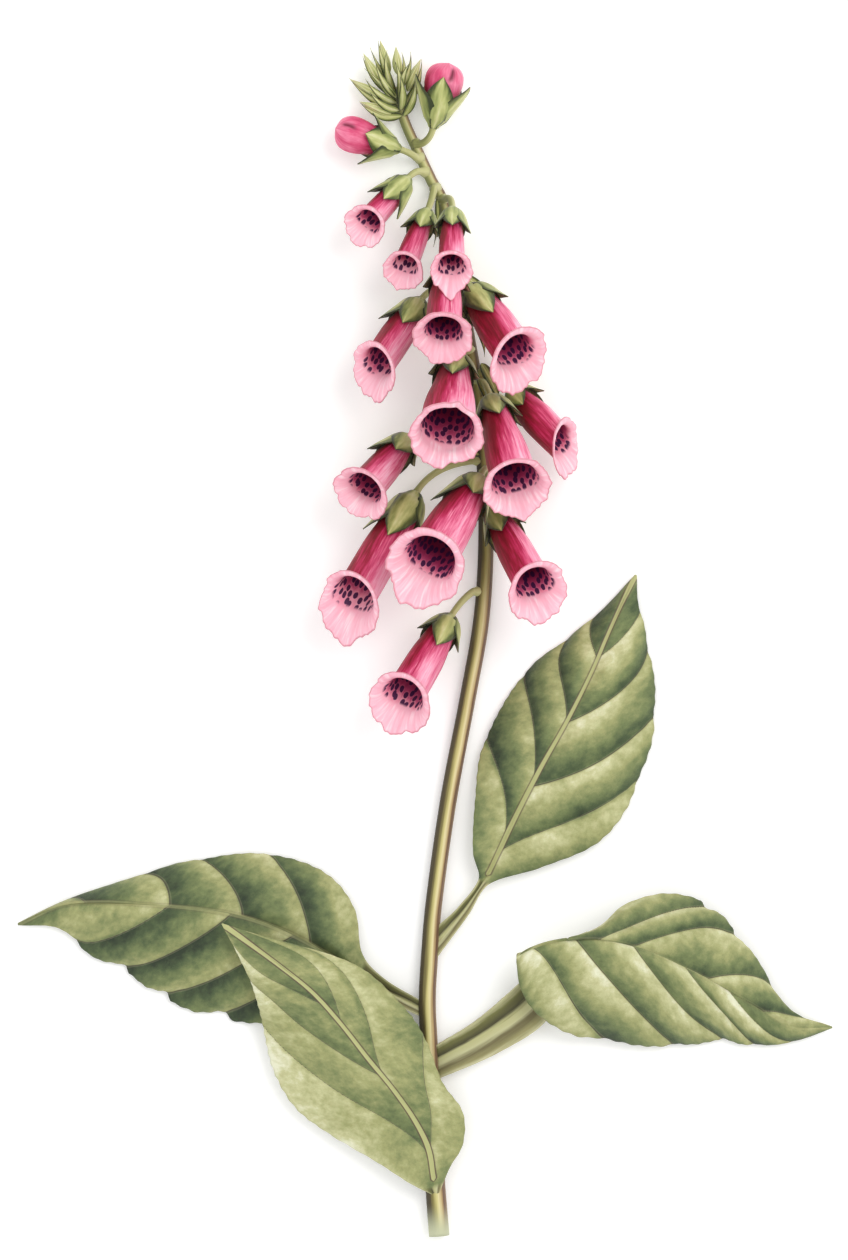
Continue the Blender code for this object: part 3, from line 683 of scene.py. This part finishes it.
def bell_sheet(number, length, mouth, slant, origin, axes, point, peak, throat_shade, belly):
    """The corolla: its lower lip is longest, shallow lobes and waves run round its rim, and it rolls outward.

    point draws the lower lip out, peak the upper one, throat_shade adds painted shade to the throat
    and belly fills out the tube below the lip."""
    tube_share = np.linspace(0.0, FINE_FROM, TUBE_ROWS, endpoint=False)
    share = np.concatenate([tube_share, np.linspace(FINE_FROM, 1.0, BELL_ROWS - TUBE_ROWS)])
    psi = np.linspace(0.0, math.tau, BELL_COLS + 1) - math.pi  # 0 at the lower lip
    rng = np.random.default_rng(100 + number)
    phases = [*rng.uniform(0, math.tau, 5), 0.0]
    wave = sum(deep * np.cos(count * psi + phases[which]) for count, deep, which in RIM_WAVES)
    low = hill(psi, LOW_SPAN)
    s, p = np.meshgrid(share, psi, indexing="ij")
    lip = smoothstep(s, FLARE_FROM, 1.0)
    radius = mouth * bell_radius(s)
    radius *= 1 + lip * (wave + 0.03 * low + peak * hill(np.abs(p) - math.pi, PEAK_SPAN))
    radius *= 1 + TUBE_LOBE_DEPTH * np.cos(TUBE_LOBES * p) * np.sin(math.pi * s)
    radius *= 1 + belly * smoothstep(s, 0.30, 0.68) * smoothstep(s, 0.97, FLARE_FROM)
    z = BELL_START + (length - BELL_START) * s
    z += mouth * lip * (WAVE_RISE * wave + 0.04 * low)
    z += mouth * lip * point * hill(p, POINT_SPAN)
    z -= ROLL_BACK * mouth * smoothstep(s, ROLL_FROM, 1.0)
    x, y = radius * np.sin(p), -radius * np.cos(p)
    lean = np.clip((s - TILT_FROM) / (1 - TILT_FROM), 0.0, 1.0) ** 1.5
    y = y * (1 - (1 - math.cos(slant)) * lean)
    z = z - math.tan(slant) * lean * y
    points = placed(np.stack([x, y, z], -1), origin, axes)
    uv = CM_PER_MM * np.stack([mouth * MEAN_GIRTH * p, length * (1 - s)], -1)
    depth = (1 - share) * length / mouth / DEPTH_SCALE
    return Sheet(
        points[:, :-1], uv, wrap=True, along=share[:, None], depth=depth[:, None],
        low=(0.5 + 0.5 * np.cos(psi))[:-1], turn=toward(psi, axes)[:-1], throat_shade=throat_shade, seed=float(number),
    )


SEPAL_ROWS, SEPAL_COLS = 36, 17
SEPAL_BEHIND = 0.7  # how far behind the tube's start the sepals begin, in mm
SEPAL_CLEAR, SEPAL_LAP = 0.7, 0.35  # room outside the tube, and more for every other sepal
SEPAL_ROOT = 1.1  # radius where they leave the stalk
SEPAL_SWAY, SEPAL_STRAY = 0.16, 0.10  # the most that a tip and a whole sepal turn aside, in radians
KEEL_HEIGHT, RIPPLE_HEIGHT = 0.5, 0.22


def sepal_sheets(number, length, mouth, origin, axes, tips, radius_at, flares, width):
    """Five pointed sepals round the start of a tube, each a keeled sheet that springs free at its tip.

    tips and flares run round from the sepal that faces up; width is the widest half, in mm."""
    sheets = []
    upward = math.atan2(axes[0][2], -axes[1][2])
    rng = np.random.default_rng(300 + number)
    s, t = grid(SEPAL_ROWS, SEPAL_COLS)
    rise = np.sqrt(np.clip(s / 0.20, 0.0, 1.0))
    egg = np.sin(math.pi * s**0.86) ** 0.85 * (1 - 0.25 * s**5) + 0.40 * (1 - s) ** 3
    for k, (tip, flare) in enumerate(zip(tips, flares)):
        tip_z = length * tip
        z = -SEPAL_BEHIND + (tip_z + SEPAL_BEHIND) * s
        tube_radius = mouth * radius_at(np.clip(z, BELL_LENGTHS[0] * length, None) / length)
        cup = tube_radius + SEPAL_CLEAR + SEPAL_LAP * ((k + 1) % 2)
        radius = SEPAL_ROOT + (cup - SEPAL_ROOT) * rise
        radius = radius + flare * s**2.6 + KEEL_HEIGHT * (1 - np.abs(t)) * np.sin(math.pi * s)
        radius = radius + RIPPLE_HEIGHT * np.sin(3 * math.pi * s + 2.2 * t + k) * s * (1 - s)
        half = np.minimum(width * egg / radius, 1.0) * (0.45 + 0.55 * rise)
        half = half * (1 + 0.03 * np.sin(17 * s + k))
        sway = rng.uniform(-SEPAL_SWAY, SEPAL_SWAY)
        stray = rng.uniform(-SEPAL_STRAY, SEPAL_STRAY)
        psi = upward + k * math.tau / 5 + stray + half * t + sway * s**2
        local = np.stack([radius * np.sin(psi), -radius * np.cos(psi), z], -1)
        uv = CM_PER_MM * np.stack([radius * half * t, tip_z * s], -1)
        sheets.append(Sheet(
            placed(local, origin, axes), uv, along=s, across=t, turn=toward(psi, axes), seed=number + 0.2 * k,
        ))
    return sheets


def stem_at(height):
    """The stem's centre and radius at a height up the spike."""
    path = smooth_through(STEM, 4)
    x = np.interp(height, path[:, 1], path[:, 0])
    radius = np.interp(height, path[:, 1], path[:, 2])
    return np.array([x, height, radius]), radius


STALK_END_GAP = 0.6  # between a stalk's end and the start of its flower, in mm
STALK_BEND = 0.45  # where it bends, as a share of its reach back from the flower
STALK_BEND_LOWEST = 5.0
STALK_INSIDE = (0.4, 0.9)  # its first points, as shares of the stem's radius
STALK_OUTSIDE, STALK_LEAD = 0.6, 0.8  # the next two: how far out of the stem, and on from there
STALK_STEPS = 22
STALK_SIDES = 20
STALK_FOOT = (2.1, 1.7, 1.35)  # widths of the first three points, as shares of STALK_RADIUS
STALK_HEAD = (1.0, 1.05, 1.15, 1.3)  # by how much the last four widen


def stalk_path(height, start, axis):
    """The stalk's curve and radii, begun inside the stem so that the two grow together."""
    centre, radius = stem_at(height)
    end = np.array(start) - STALK_END_GAP * axis
    reach = np.linalg.norm(end - centre)
    bend = end - STALK_BEND * reach * axis
    bend[2] = max(bend[2], STALK_BEND_LOWEST)
    away = bend - centre
    away[1] = 0.0
    away /= np.linalg.norm(away)
    first = centre + (radius + STALK_OUTSIDE) * away
    second = first + STALK_LEAD * away
    points = [centre + inside * radius * away for inside in STALK_INSIDE]
    points.append(first)
    for t in np.linspace(0.0, 1.0, STALK_STEPS):
        points.append((1 - t) ** 2 * second + 2 * t * (1 - t) * bend + t * t * end)
    widths = np.concatenate([STALK_FOOT, np.linspace(1.15, 1.0, STALK_STEPS)])
    widths[-len(STALK_HEAD):] *= STALK_HEAD
    return points, STALK_RADIUS * widths


def add_stalk(name, node, height, start, axis, seed, mats):
    path, widths = stalk_path(height, start, axis)
    add_piece(name, [tube(path, widths, STALK_SIDES, ribs=0.02, seed=seed)], [mats["stalk"]], [node])


PETAL_THICK, SEPAL_THICK = 0.45, 0.35
SEPAL_FLARES = (0.5, 2.1, 1.6, 1.6, 2.1)
LOWER_TIPS = (0.32, 0.34)  # how far the two sepals below reach, as shares of a flower's length

# For each flower: how far the lower lip is drawn out, the upper lip's peak, how much painted shade
# darkens the throat (below 0 it lightens it), how full the tube is, the tips of the sepals that face up,
# left and right as shares of the flower's length, and the sepals' half width in mm.
FLOWER_LOOKS = (
    (0.00, 0.00, 0.00, 0.00, 0.41, 0.29, 0.28, 5.0),
    (0.00, 0.00, 0.04, 0.00, 0.36, 0.32, 0.36, 5.0),
    (0.00, 0.00, 0.10, 0.04, 0.28, 0.46, 0.38, 6.0),
    (0.10, 0.00, -0.10, 0.00, 0.45, 0.46, 0.30, 6.0),
    (0.00, 0.00, 0.04, 0.00, 0.40, 0.54, 0.28, 5.4),
    (0.00, 0.00, 0.04, 0.12, 0.32, 0.28, 0.30, 4.8),
    (0.00, 0.00, 0.02, 0.00, 0.34, 0.30, 0.30, 4.4),
    (0.00, 0.10, 0.00, 0.22, 0.44, 0.30, 0.32, 5.2),
    (0.00, 0.00, 0.06, 0.00, 0.53, 0.30, 0.39, 5.6),
    (0.08, 0.00, -0.02, 0.00, 0.46, 0.48, 0.32, 5.4),
    (0.00, 0.00, 0.04, 0.00, 0.36, 0.34, 0.34, 4.6),
    (0.30, 0.00, -0.13, 0.00, 0.43, 0.36, 0.50, 4.2),
    (0.00, 0.00, -0.14, 0.00, 0.40, 0.42, 0.34, 4.4),
    (0.00, 0.00, 0.00, 0.00, 0.62, 0.60, 0.66, 5.2),
)


def add_flowers(mats):
    for number, (start, end, facing, mouth, height) in enumerate(FLOWERS, 1):
        length, origin, axes, slant = flower_axes(start, end, facing)
        tag = f"{number:02d}"
        *shape, front, left, right, width = FLOWER_LOOKS[number - 1]
        petals = bell_sheet(number, length, mouth, slant, origin, axes, *shape)
        add_piece(
            f"petals_{tag}", [petals], [mats["outside"], mats["inside"]], [f"bell_{tag}"],
            thick=PETAL_THICK, offset=-1.0, inner=1,
        )
        tips = (front, left, *LOWER_TIPS, right)
        sepals = sepal_sheets(number, length, mouth, origin, axes, tips, bell_radius, SEPAL_FLARES, width)
        add_piece(
            f"sepals_{tag}", sepals, [mats["sepal"]], [f"calyx_{tag}"],
            thick=SEPAL_THICK, offset=1.0,
        )
        add_stalk(f"stalk_{tag}", f"pedicel_{tag}", height, start, axes[2], number, mats)


# ---- buds


BUD_PROFILE = smooth_through(np.stack([BUD_LENGTHS, BUD_RADII], 1), 10)
BUD_ROWS, BUD_COLS = 48, 60
BUD_START = 0.3  # how far past its start point a bud begins, in mm
BUD_RIBS = 5
CREASE_AT, CREASE_LEAN, CREASE_SPREAD = 1.3, 0.8, 0.02
CREASE_DEPTH = 0.10


def bud_radius(share):
    return np.interp(share, BUD_PROFILE[:, 0], BUD_PROFILE[:, 1])


def spindle(share):
    return 0.85 * np.sin(math.pi * np.clip(share, 0, 1) ** 0.66) ** 1.1


def egg_sheet(number, length, radius, origin, axes, ribs, shape, fold=0.0):
    """A closed bud whose outline follows shape, with ribs and, where fold is 1, a crease near its tip."""
    share = 0.5 - 0.5 * np.cos(np.linspace(0, math.pi, BUD_ROWS))
    angle = np.linspace(0, math.tau, BUD_COLS + 1)
    s, a = np.meshgrid(share, angle, indexing="ij")
    r = radius * shape(s) * (1 + ribs * np.cos(BUD_RIBS * a) * smoothstep(s, 0.1, 0.6))
    crease = fold * np.exp(-((a - CREASE_AT - CREASE_LEAN * s) ** 2) / CREASE_SPREAD)
    crease = crease * smoothstep(s, 0.70, 0.80) * smoothstep(s, 0.97, 0.90)
    r = r * (1 - CREASE_DEPTH * crease)
    z = BUD_START + (length - BUD_START) * s
    local = np.stack([r * np.cos(a), r * np.sin(a), z], -1)
    turn = (np.stack([np.cos(angle), np.sin(angle), 0 * angle], -1) @ axes)[:, 0]
    uv = CM_PER_MM * np.stack([radius * a, length * s], -1)
    return Sheet(
        placed(local, origin, axes)[:, :-1], uv, wrap=True, along=s[:, :-1], fold=crease[:, :-1],
        turn=turn[:-1], across=np.sin(BUD_RIBS * a[:, :-1]) * 0.6, seed=float(number),
    )


BRACT_ROWS, BRACT_COLS = 26, 9
BRACT_FACES = (0.15, 0.1, 1.0)  # where a bract's upper side looks
BRACT_THICK, BRACT_CURL = 0.3, 0.35


def bract_sheet(number, start, tip, width, bend):
    """A narrow pointed bract from start to tip, bowed by bend and cupped by BRACT_CURL."""
    s, t = grid(BRACT_ROWS, BRACT_COLS)
    start, tip, bend = (np.array(v, float) for v in (start, tip, bend))
    centre = start + s[..., None] * (tip - start) + (4 * s * (1 - s))[..., None] * bend
    ahead = unit(tip - start)
    side = unit(np.cross(ahead, np.array(BRACT_FACES)))
    lift = np.cross(side, ahead)
    half = width * (np.sin(math.pi * s**0.6) ** 0.9 * (1 - s**3) + 0.12 * (1 - s))
    points = centre + (half * t)[..., None] * side + (BRACT_CURL * half * t * t)[..., None] * lift
    uv = CM_PER_MM * np.stack([half * t, np.linalg.norm(tip - start) * s], -1)
    return Sheet(points, uv, along=s, across=t, turn=np.full_like(s, side[0]) * t, seed=number * 0.37)


BUD_FLARES = (0.4, 2.6, 1.6, 1.6, 3.4)
BUD_REACHES = (1.0, 0.92, 0.80, 0.85, 0.92)  # the sepals' tips, as shares of the bud's reach
BUD_SEPAL_WIDTH = 6.2
PINK_SEED, GREEN_SEED = 21, 30
PINK_RIBS, GREEN_RIBS = 0.03, 0.10


def add_buds(mats):
    for number, (side, bud) in enumerate(zip(("left", "right"), PINK_BUDS), PINK_SEED):
        start, end, radius, height, reach = bud
        length, origin, axes, _ = flower_axes(start, end, (0.0, 0.0))
        petals = egg_sheet(number, length, radius, origin, axes, PINK_RIBS, bud_radius, fold=1.0)
        add_piece(f"bud_petals_{side}", [petals], [mats["bud"]], [f"pink_bud_{side}"])
        tips = [reach * share for share in BUD_REACHES]
        sepals = sepal_sheets(
            number, length, radius, origin, axes, tips, bud_radius, BUD_FLARES, BUD_SEPAL_WIDTH
        )
        add_piece(
            f"bud_sepals_{side}", sepals, [mats["sepal"]], [f"pink_bud_{side}_calyx"],
            thick=SEPAL_THICK, offset=1.0,
        )
        add_stalk(f"bud_stalk_{side}", f"pink_bud_{side}_pedicel", height, start, axes[2], number, mats)
    for number, (start, end, radius) in enumerate(TIP_BUDS, 1):
        length, origin, axes, _ = flower_axes(start, end, (0.0, 0.0))
        bud = egg_sheet(GREEN_SEED + number, length, radius, origin, axes, GREEN_RIBS, spindle)
        add_piece(f"green_bud_{number}", [bud], [mats["bract"]], [f"tip_bud_{number}"])


BRACTS = (
    # start, tip, half width, bow
    ((-10.5, 196.0, 3.5), (-16.6, 214.8, 7.0), 1.3, (-1.2, 0.6, 2.0)),
    ((-10.8, 195.0, 3.5), (-22.2, 209.2, 8.0), 1.2, (-1.8, -0.6, 2.0)),
    ((-10.4, 193.0, 3.5), (-21.6, 204.6, 11.0), 1.3, (1.2, -0.8, 2.4)),
    ((-9.6, 191.0, 3.5), (-27.0, 201.4, 6.0), 1.4, (-0.6, -2.4, 1.6)),
    ((-9.8, 192.5, 4.0), (-21.2, 200.8, 12.0), 1.3, (-1.0, -1.4, 2.4)),
    ((-8.2, 188.0, 3.5), (-23.4, 192.8, 9.0), 1.6, (-0.8, -2.4, 2.4)),
    ((-10.8, 196.5, 4.0), (-13.4, 211.2, 10.0), 1.2, (-1.6, 0.0, 2.6)),
    ((-10.0, 196.0, 4.0), (-8.2, 210.6, 7.0), 1.1, (1.6, 0.0, 2.0)),
    ((-9.0, 194.0, 4.0), (-5.4, 206.6, 9.0), 1.3, (-0.8, 0.6, 2.4)),
    ((-8.4, 191.0, 3.5), (-1.0, 208.2, 6.0), 1.4, (1.8, -1.2, 2.0)),
    ((-9.6, 194.0, 4.5), (-17.6, 207.0, 14.0), 1.2, (-1.4, -0.4, 2.0)),
    ((-9.4, 192.0, 4.5), (-11.0, 207.6, 15.0), 1.3, (1.4, 0.0, 2.4)),
    ((-9.0, 190.0, 4.0), (-20.0, 196.6, 12.0), 1.4, (-0.6, -1.8, 2.4)),
    ((-7.6, 188.0, 3.6), (-3.6, 201.0, 10.0), 1.4, (1.6, -0.4, 2.0)),
    ((-8.6, 190.0, 4.6), (-8.8, 201.8, 14.0), 1.5, (0.8, 0.0, 2.4)),
    ((-10.6, 198.0, 4.0), (-19.6, 212.6, 5.0), 1.0, (-0.4, -1.4, 1.4)),
    ((-10.0, 197.0, 4.0), (-5.0, 211.0, 5.0), 1.0, (1.6, -0.6, 1.4)),
    ((4.4, 158.0, 3.6), (3.2, 140.6, 8.0), 0.9, (0.8, 0.0, 1.4)),
    ((13.2, 131.0, 4.0), (26.6, 116.0, 6.0), 1.6, (1.4, 1.2, 1.6)),
    ((20.4, 99.0, 4.5), (27.6, 83.0, 9.0), 1.9, (0.6, 0.0, 2.6)),
    ((19.6, 97.0, 4.5), (23.4, 82.0, 12.0), 1.7, (-0.4, 0.0, 2.6)),
    ((17.0, 118.0, 4.5), (21.6, 101.0, 10.0), 1.7, (1.0, 0.0, 2.0)),
    ((22.4, 57.0, 5.0), (18.4, 40.0, 9.0), 2.4, (-0.8, 0.6, 2.6)),
    ((22.8, 58.0, 5.0), (33.0, 43.0, 14.0), 2.2, (1.8, 0.6, 2.6)),
    ((20.0, 66.0, 4.5), (-2.0, 68.0, 10.0), 1.6, (0.0, 1.6, 2.0)),
)
TIP_BRACTS = 17  # this many of them crowd the growing tip


def add_bracts(mats):
    for number, (start, tip, width, bend) in enumerate(BRACTS, 1):
        material, slot = ("bract", "green_bud") if number <= TIP_BRACTS else ("sepal", "calyx")
        sheet = bract_sheet(number, start, tip, width, bend)
        add_piece(f"bract_{number:02d}", [sheet], [mats[material]], (), thick=BRACT_THICK)


# ---- leaves and stem


ROOT_DEPTH = 0.4  # how far a leaf's base reaches into the stem, in mm
FIRST_BAND = 0.2  # where in its span a flipped half's lowest blade begins
BELOW_FIRST = 0.15  # how far below the first vein that span begins, as a share of the leaf
BEYOND_TIP = 1.25  # where the last span ends
LEAF_COLS = 97
LEAF_STEPS = 18  # rows between one station and the next
LEAF_LOWEST = 0.45  # mm above the table
MIDRIB_DEPTH, MIDRIB_SPAN = 0.5, 1.2  # mm
FULL_WIDTH = 22.0  # half width from which a blade has its full relief, in mm
SAG = 0.35  # how much of a quilt's height its valleys lie below the blade
UNDULATION = 0.5  # how far a margin swings up and down, in mm
TEETH, TOOTH_DEPTH = 170, 0.006  # along the margin, and as a share of the half width
FOLD_SPAN = 5.0  # mm from the midrib over which a fold's shade fades
RIB_GONE = 9.0  # added to the distance from the midrib along the stalk, where no midrib is drawn


def rooted(stations):
    """The stations, with the three points of the first moved just inside the stem's surface."""
    found = np.array(stations, float)
    for point in found[0]:
        centre, radius = stem_at(point[1])
        away = point - centre
        point[:] = centre + (radius - ROOT_DEPTH) / np.linalg.norm(away) * away
    return found


def vein_phase(s, t, veins, flip):
    """How many side veins lie below each point, counting the share of the way to the next, and the
    distance between those two veins as a share of the leaf.

    Where flip is true, the blade below the first vein keeps FIRST_BAND until close to that vein."""
    t = np.abs(t)
    lines = [s0 + (s1 - s0) * t**power for s0, s1, power in veins]
    lowest = lines[0] - BELOW_FIRST if flip else 0.1 * t - 0.25
    lines = [lowest, *lines, np.full_like(s, BEYOND_TIP)]
    phase, width = np.full_like(s, FIRST_BAND), np.ones_like(s)
    for k, (below, above) in enumerate(zip(lines, lines[1:])):
        inside = (s >= below) & (s < above)
        climb = (s - below) / (above - below)
        if k == 0 and flip:
            climb = FIRST_BAND + (1 - FIRST_BAND) * climb
        phase = np.where(inside, k + climb, phase)
        width = np.where(inside, above - below, width)
    return phase, width


def leaf_sheet(number, stations, veins, tints, arch, swell, petiole, quilt, keel, scallops, flips, fold=0.0):
    """A blade lofted along its midrib, quilted between its side veins.

    veins holds the side veins of the left and of the right half as (leaves the midrib at, meets the
    margin at, bend), in shares of the leaf's length. For each half, tints is its lightness by the midrib
    and at the margin, scallops how far the margin steps in at each vein, and flips tells whether the
    painted light rather than the painted shade lies just beyond a vein. petiole is the share that is stalk,
    quilt the strength of the painted shade and light between veins, keel the strength of the midrib's line
    and fold the painted shade on the left half by the rib."""
    rows = smooth_through(np.array(stations).reshape(len(stations), 9), LEAF_STEPS).reshape(-1, 3, 3)
    steps = run_lengths(rows[:, 1])
    share = (steps / steps[-1] - petiole) / (1 - petiole)
    s, t = np.meshgrid(share, np.linspace(-1, 1, LEAF_COLS), indexing="ij")
    out = np.abs(t)
    left, mid, right = (rows[:, i][:, None] for i in range(3))
    edge = np.where((t < 0)[..., None], left, right)
    phase, wide, scallop, tint = np.zeros_like(s), np.ones_like(s), np.zeros_like(s), np.zeros_like(s)
    for k, half in enumerate((t < 0, t >= 0)):
        found, width = vein_phase(s, t, veins[k], flips[k])
        phase = np.where(half, -found if flips[k] else found, phase)
        wide = np.where(half, width, wide)
        past = smoothstep(found % 1.0, 0.55, 0.0) * (found >= 1)
        step = np.maximum(past, smoothstep(found % 1.0, 0.88, 1.0))
        scallop = np.where(half, scallops[k] * step, scallop)
        inner, outer = tints[k]
        tint = np.where(half, inner + (outer - inner) * t**2, tint)
    band = phase % 1.0
    blade = smoothstep(s, -0.02, 0.03)
    spacing = wide * steps[-1] * (1 - petiole)
    step_in = 1 - scallop * blade * out**4
    step_in = step_in * (1 + TOOTH_DEPTH * np.sin(TEETH * s) * blade * out**8)
    points = mid + (out * step_in)[..., None] * (edge - mid)
    width = np.linalg.norm(edge - mid, axis=-1)
    points[..., 2] += arch * width * 4 * out * (1 - out)
    hump = np.clip(np.sin(math.pi * np.clip(band, 0, 1) ** 1.15), 0, 1) ** 0.7
    hump = hump * smoothstep(out, 0.0, 0.22) * (1 - 0.6 * out**5) * blade
    size = np.clip(width / FULL_WIDTH, 0.0, 1.0)
    normal = np.cross(np.gradient(points, axis=1), np.gradient(points, axis=0))
    normal = normal / (np.linalg.norm(normal, axis=-1, keepdims=True) + TINY)
    normal = np.where((normal[..., 2] < 0)[..., None], -normal, normal)
    rib = out * width
    height = swell * size * (hump - SAG) - MIDRIB_DEPTH * hill(rib, MIDRIB_SPAN) * blade * size
    height = height + UNDULATION * np.sin(6.0 * s * math.pi + 2.4 * t + number) * out**2 * size
    points = points + height[..., None] * normal
    points[..., 2] = np.maximum(points[..., 2], LEAF_LOWEST)
    uv = CM_PER_MM * np.stack([t * width, np.broadcast_to(steps[:, None], s.shape)], -1)
    tint = tint - fold * (t < 0) * np.exp(-rib / FOLD_SPAN) * blade
    return Sheet(
        points, uv, phase=phase, spacing=spacing, rib=rib + RIB_GONE * (1 - blade), tint=tint, blade=blade,
        across=t, quilt=quilt, keel=keel, seed=float(number),
    )


LEAVES = (
    # name, stations, node, tints, arch, swell, petiole, quilt, keel, scallops, flips, fold, side veins
    ("upper_right", UPPER_RIGHT_LEAF, "leaf_upper_right", ((0.48, 0.20), (0.58, 0.38)), 0.05, 2.0, 0.18,
     1.0, 1.0, (0.01, 0.02), (False, False), 0.0,
     (((0.12, 0.43, 0.80), (0.31, 0.66, 0.75), (0.51, 0.80, 0.75), (0.72, 0.88, 0.80)),
      ((0.10, 0.41, 1.20), (0.31, 0.56, 1.15), (0.52, 0.74, 1.10), (0.73, 0.86, 1.00)))),
    ("left", LEFT_LEAF, "leaf_left", ((0.30, 0.42), (0.30, 0.28)), 0.05, 2.0, 0.15,
     1.0, 0.30, (0.0, 0.07), (True, True), 0.0,
     (((0.17, 0.40, 1.25), (0.37, 0.58, 1.25), (0.57, 0.70, 1.20), (0.80, 0.86, 1.0)),
      ((0.06, 0.34, 1.1), (0.22, 0.50, 1.1), (0.40, 0.65, 1.1), (0.57, 0.81, 1.05)))),
    # The front leaf's tints make its margins paler than its middle as a painted highlight, and its fold
    # paints shade left of the rib.
    ("front", FRONT_LEAF, "leaf_front", ((0.80, 1.30), (0.84, 0.96)), 0.04, 1.2, 0.02,
     0.45, 1.3, (0.0, 0.0), (False, False), 0.18,
     (((0.08, 0.60, 1.0), (0.36, 0.80, 1.0), (0.62, 0.92, 1.0)),
      ((0.10, 0.45, 1.1), (0.36, 0.85, 1.0), (0.55, 0.97, 1.0)))),
    ("lower_right", LOWER_RIGHT_LEAF, "leaf_lower_right", ((0.64, 0.66), (0.76, 0.32)), 0.06, 2.0, 0.0,
     1.0, 0.12, (0.06, 0.02), (True, False), 0.35,
     (((0.25, 0.50, 1.3), (0.35, 0.61, 1.1), (0.59, 0.79, 1.0), (0.78, 0.92, 1.0)),
      ((0.05, 0.28, 1.0), (0.18, 0.45, 1.0), (0.35, 0.61, 1.0), (0.52, 0.74, 1.0), (0.66, 0.87, 1.0)))),
)


BLADE_THICK = 0.6
LEAF_STALK_THICK = 1.2
LEAF_STALK_SEED = 5
ALL_STALK = 0.999  # the share of the lower right stalk that is stalk
# the stalk's tints, arch, swell, petiole, quilt, keel, scallops and flips
LEAF_STALK_LOOK = (((0.5, 0.5), (0.5, 0.5)), 0.0, 0.0, ALL_STALK, 0.0, 0.0, (0.0, 0.0), (False, False))


def add_leaves(mats):
    for number, (name, stations, node, *look, veins) in enumerate(LEAVES, 1):
        if name != "lower_right":
            stations = rooted(stations)
        sheet = leaf_sheet(number, stations, veins, *look)
        add_piece(f"blade_{name}", [sheet], [mats["leaf"]], [node], thick=BLADE_THICK)
    sheet = leaf_sheet(LEAF_STALK_SEED, rooted(LOWER_RIGHT_STALK), ((), ()), *LEAF_STALK_LOOK)
    add_piece(
        "stalk_lower_right", [sheet], [mats["leaf"]], ["petiole_lower_right"], thick=LEAF_STALK_THICK,
    )


STEM_SIDES = 40


def add_stem(mats):
    path = smooth_through(STEM, 14)
    add_piece(
        "stem_skin", [tube(path, path[:, 2], STEM_SIDES, ribs=0.025)], [mats["stem"]], ["stem"],
    )


# ---- stage


WHITE = (1.0, 1.0, 1.0, 1.0)
FLOOR_SIZE = 12.0
FLOOR_GAP = 0.0004
FLOOR_COLOUR = (0.93, 0.93, 0.92, 1.0)
FLOOR_GLOW = 0.16
SKY_STRENGTH = 0.92
# name, place, width, watts, colour
LIGHTS = (
    ("key", (0.8, 0.6, 1.6), 1.1, 11.0, (1.0, 0.985, 0.96)),
    ("fill", (-1.2, -0.4, 1.8), 2.0, 5.0, (0.97, 0.98, 1.0)),
)
CAMERA_PLACE = (-0.0002, 0.0032, 2.52)
FOCAL_LENGTH = 200.0
SENSOR_WIDTH = 36.0
VIEW_END = 20.0


def add_light(name, place, size, power, colour):
    lamp = bpy.data.lights.new(name, "AREA")
    lamp.shape = "DISK"
    lamp.size = size
    lamp.energy = power
    lamp.color = colour
    light = add_object(name, lamp)
    light.location = place
    light.rotation_euler = (-Vector(place)).to_track_quat("-Z", "Y").to_euler()


def add_floor():
    table_height = cad_box[0][2]
    bpy.ops.mesh.primitive_plane_add(size=FLOOR_SIZE, location=(0.0, 0.0, table_height - FLOOR_GAP))
    floor = bpy.context.active_object
    floor.name = "floor"
    m = Nodes("floor_pale")
    fill(m.shader, Emission_Color=WHITE, Emission_Strength=FLOOR_GLOW)
    floor.data.materials.append(m.finish(FLOOR_COLOUR, roughness=0.9))


def add_sky():
    world = bpy.data.worlds.new("soft_world")
    world.use_nodes = True
    fill(world.node_tree.nodes["Background"], Color=WHITE, Strength=SKY_STRENGTH)
    bpy.context.scene.world = world


def add_camera():
    lens = bpy.data.cameras.new("camera")
    lens.lens = FOCAL_LENGTH
    lens.sensor_width = SENSOR_WIDTH
    lens.clip_end = VIEW_END
    camera = add_object("camera", lens)
    camera.location = CAMERA_PLACE
    bpy.context.scene.camera = camera
    bpy.context.scene.view_settings.view_transform = "Standard"


def add_stage():
    """A pale floor, a soft key light from the upper right, a fill light and a camera straight above."""
    add_floor()
    for light in LIGHTS:
        add_light(*light)
    add_sky()
    add_camera()


def main():
    mats = {
        "outside": petal_outside(),
        "inside": petal_inside(),
        "bud": bud_petal(),
        "sepal": sepal_green("sepal_green", 0.04),
        "bract": sepal_green("bract_green", 0.26),
        "stem": stem_green(),
        "stalk": stalk_green(),
        "leaf": leaf_green(),
    }
    add_stem(mats)
    add_leaves(mats)
    add_flowers(mats)
    add_buds(mats)
    add_bracts(mats)
    add_stage()


main()
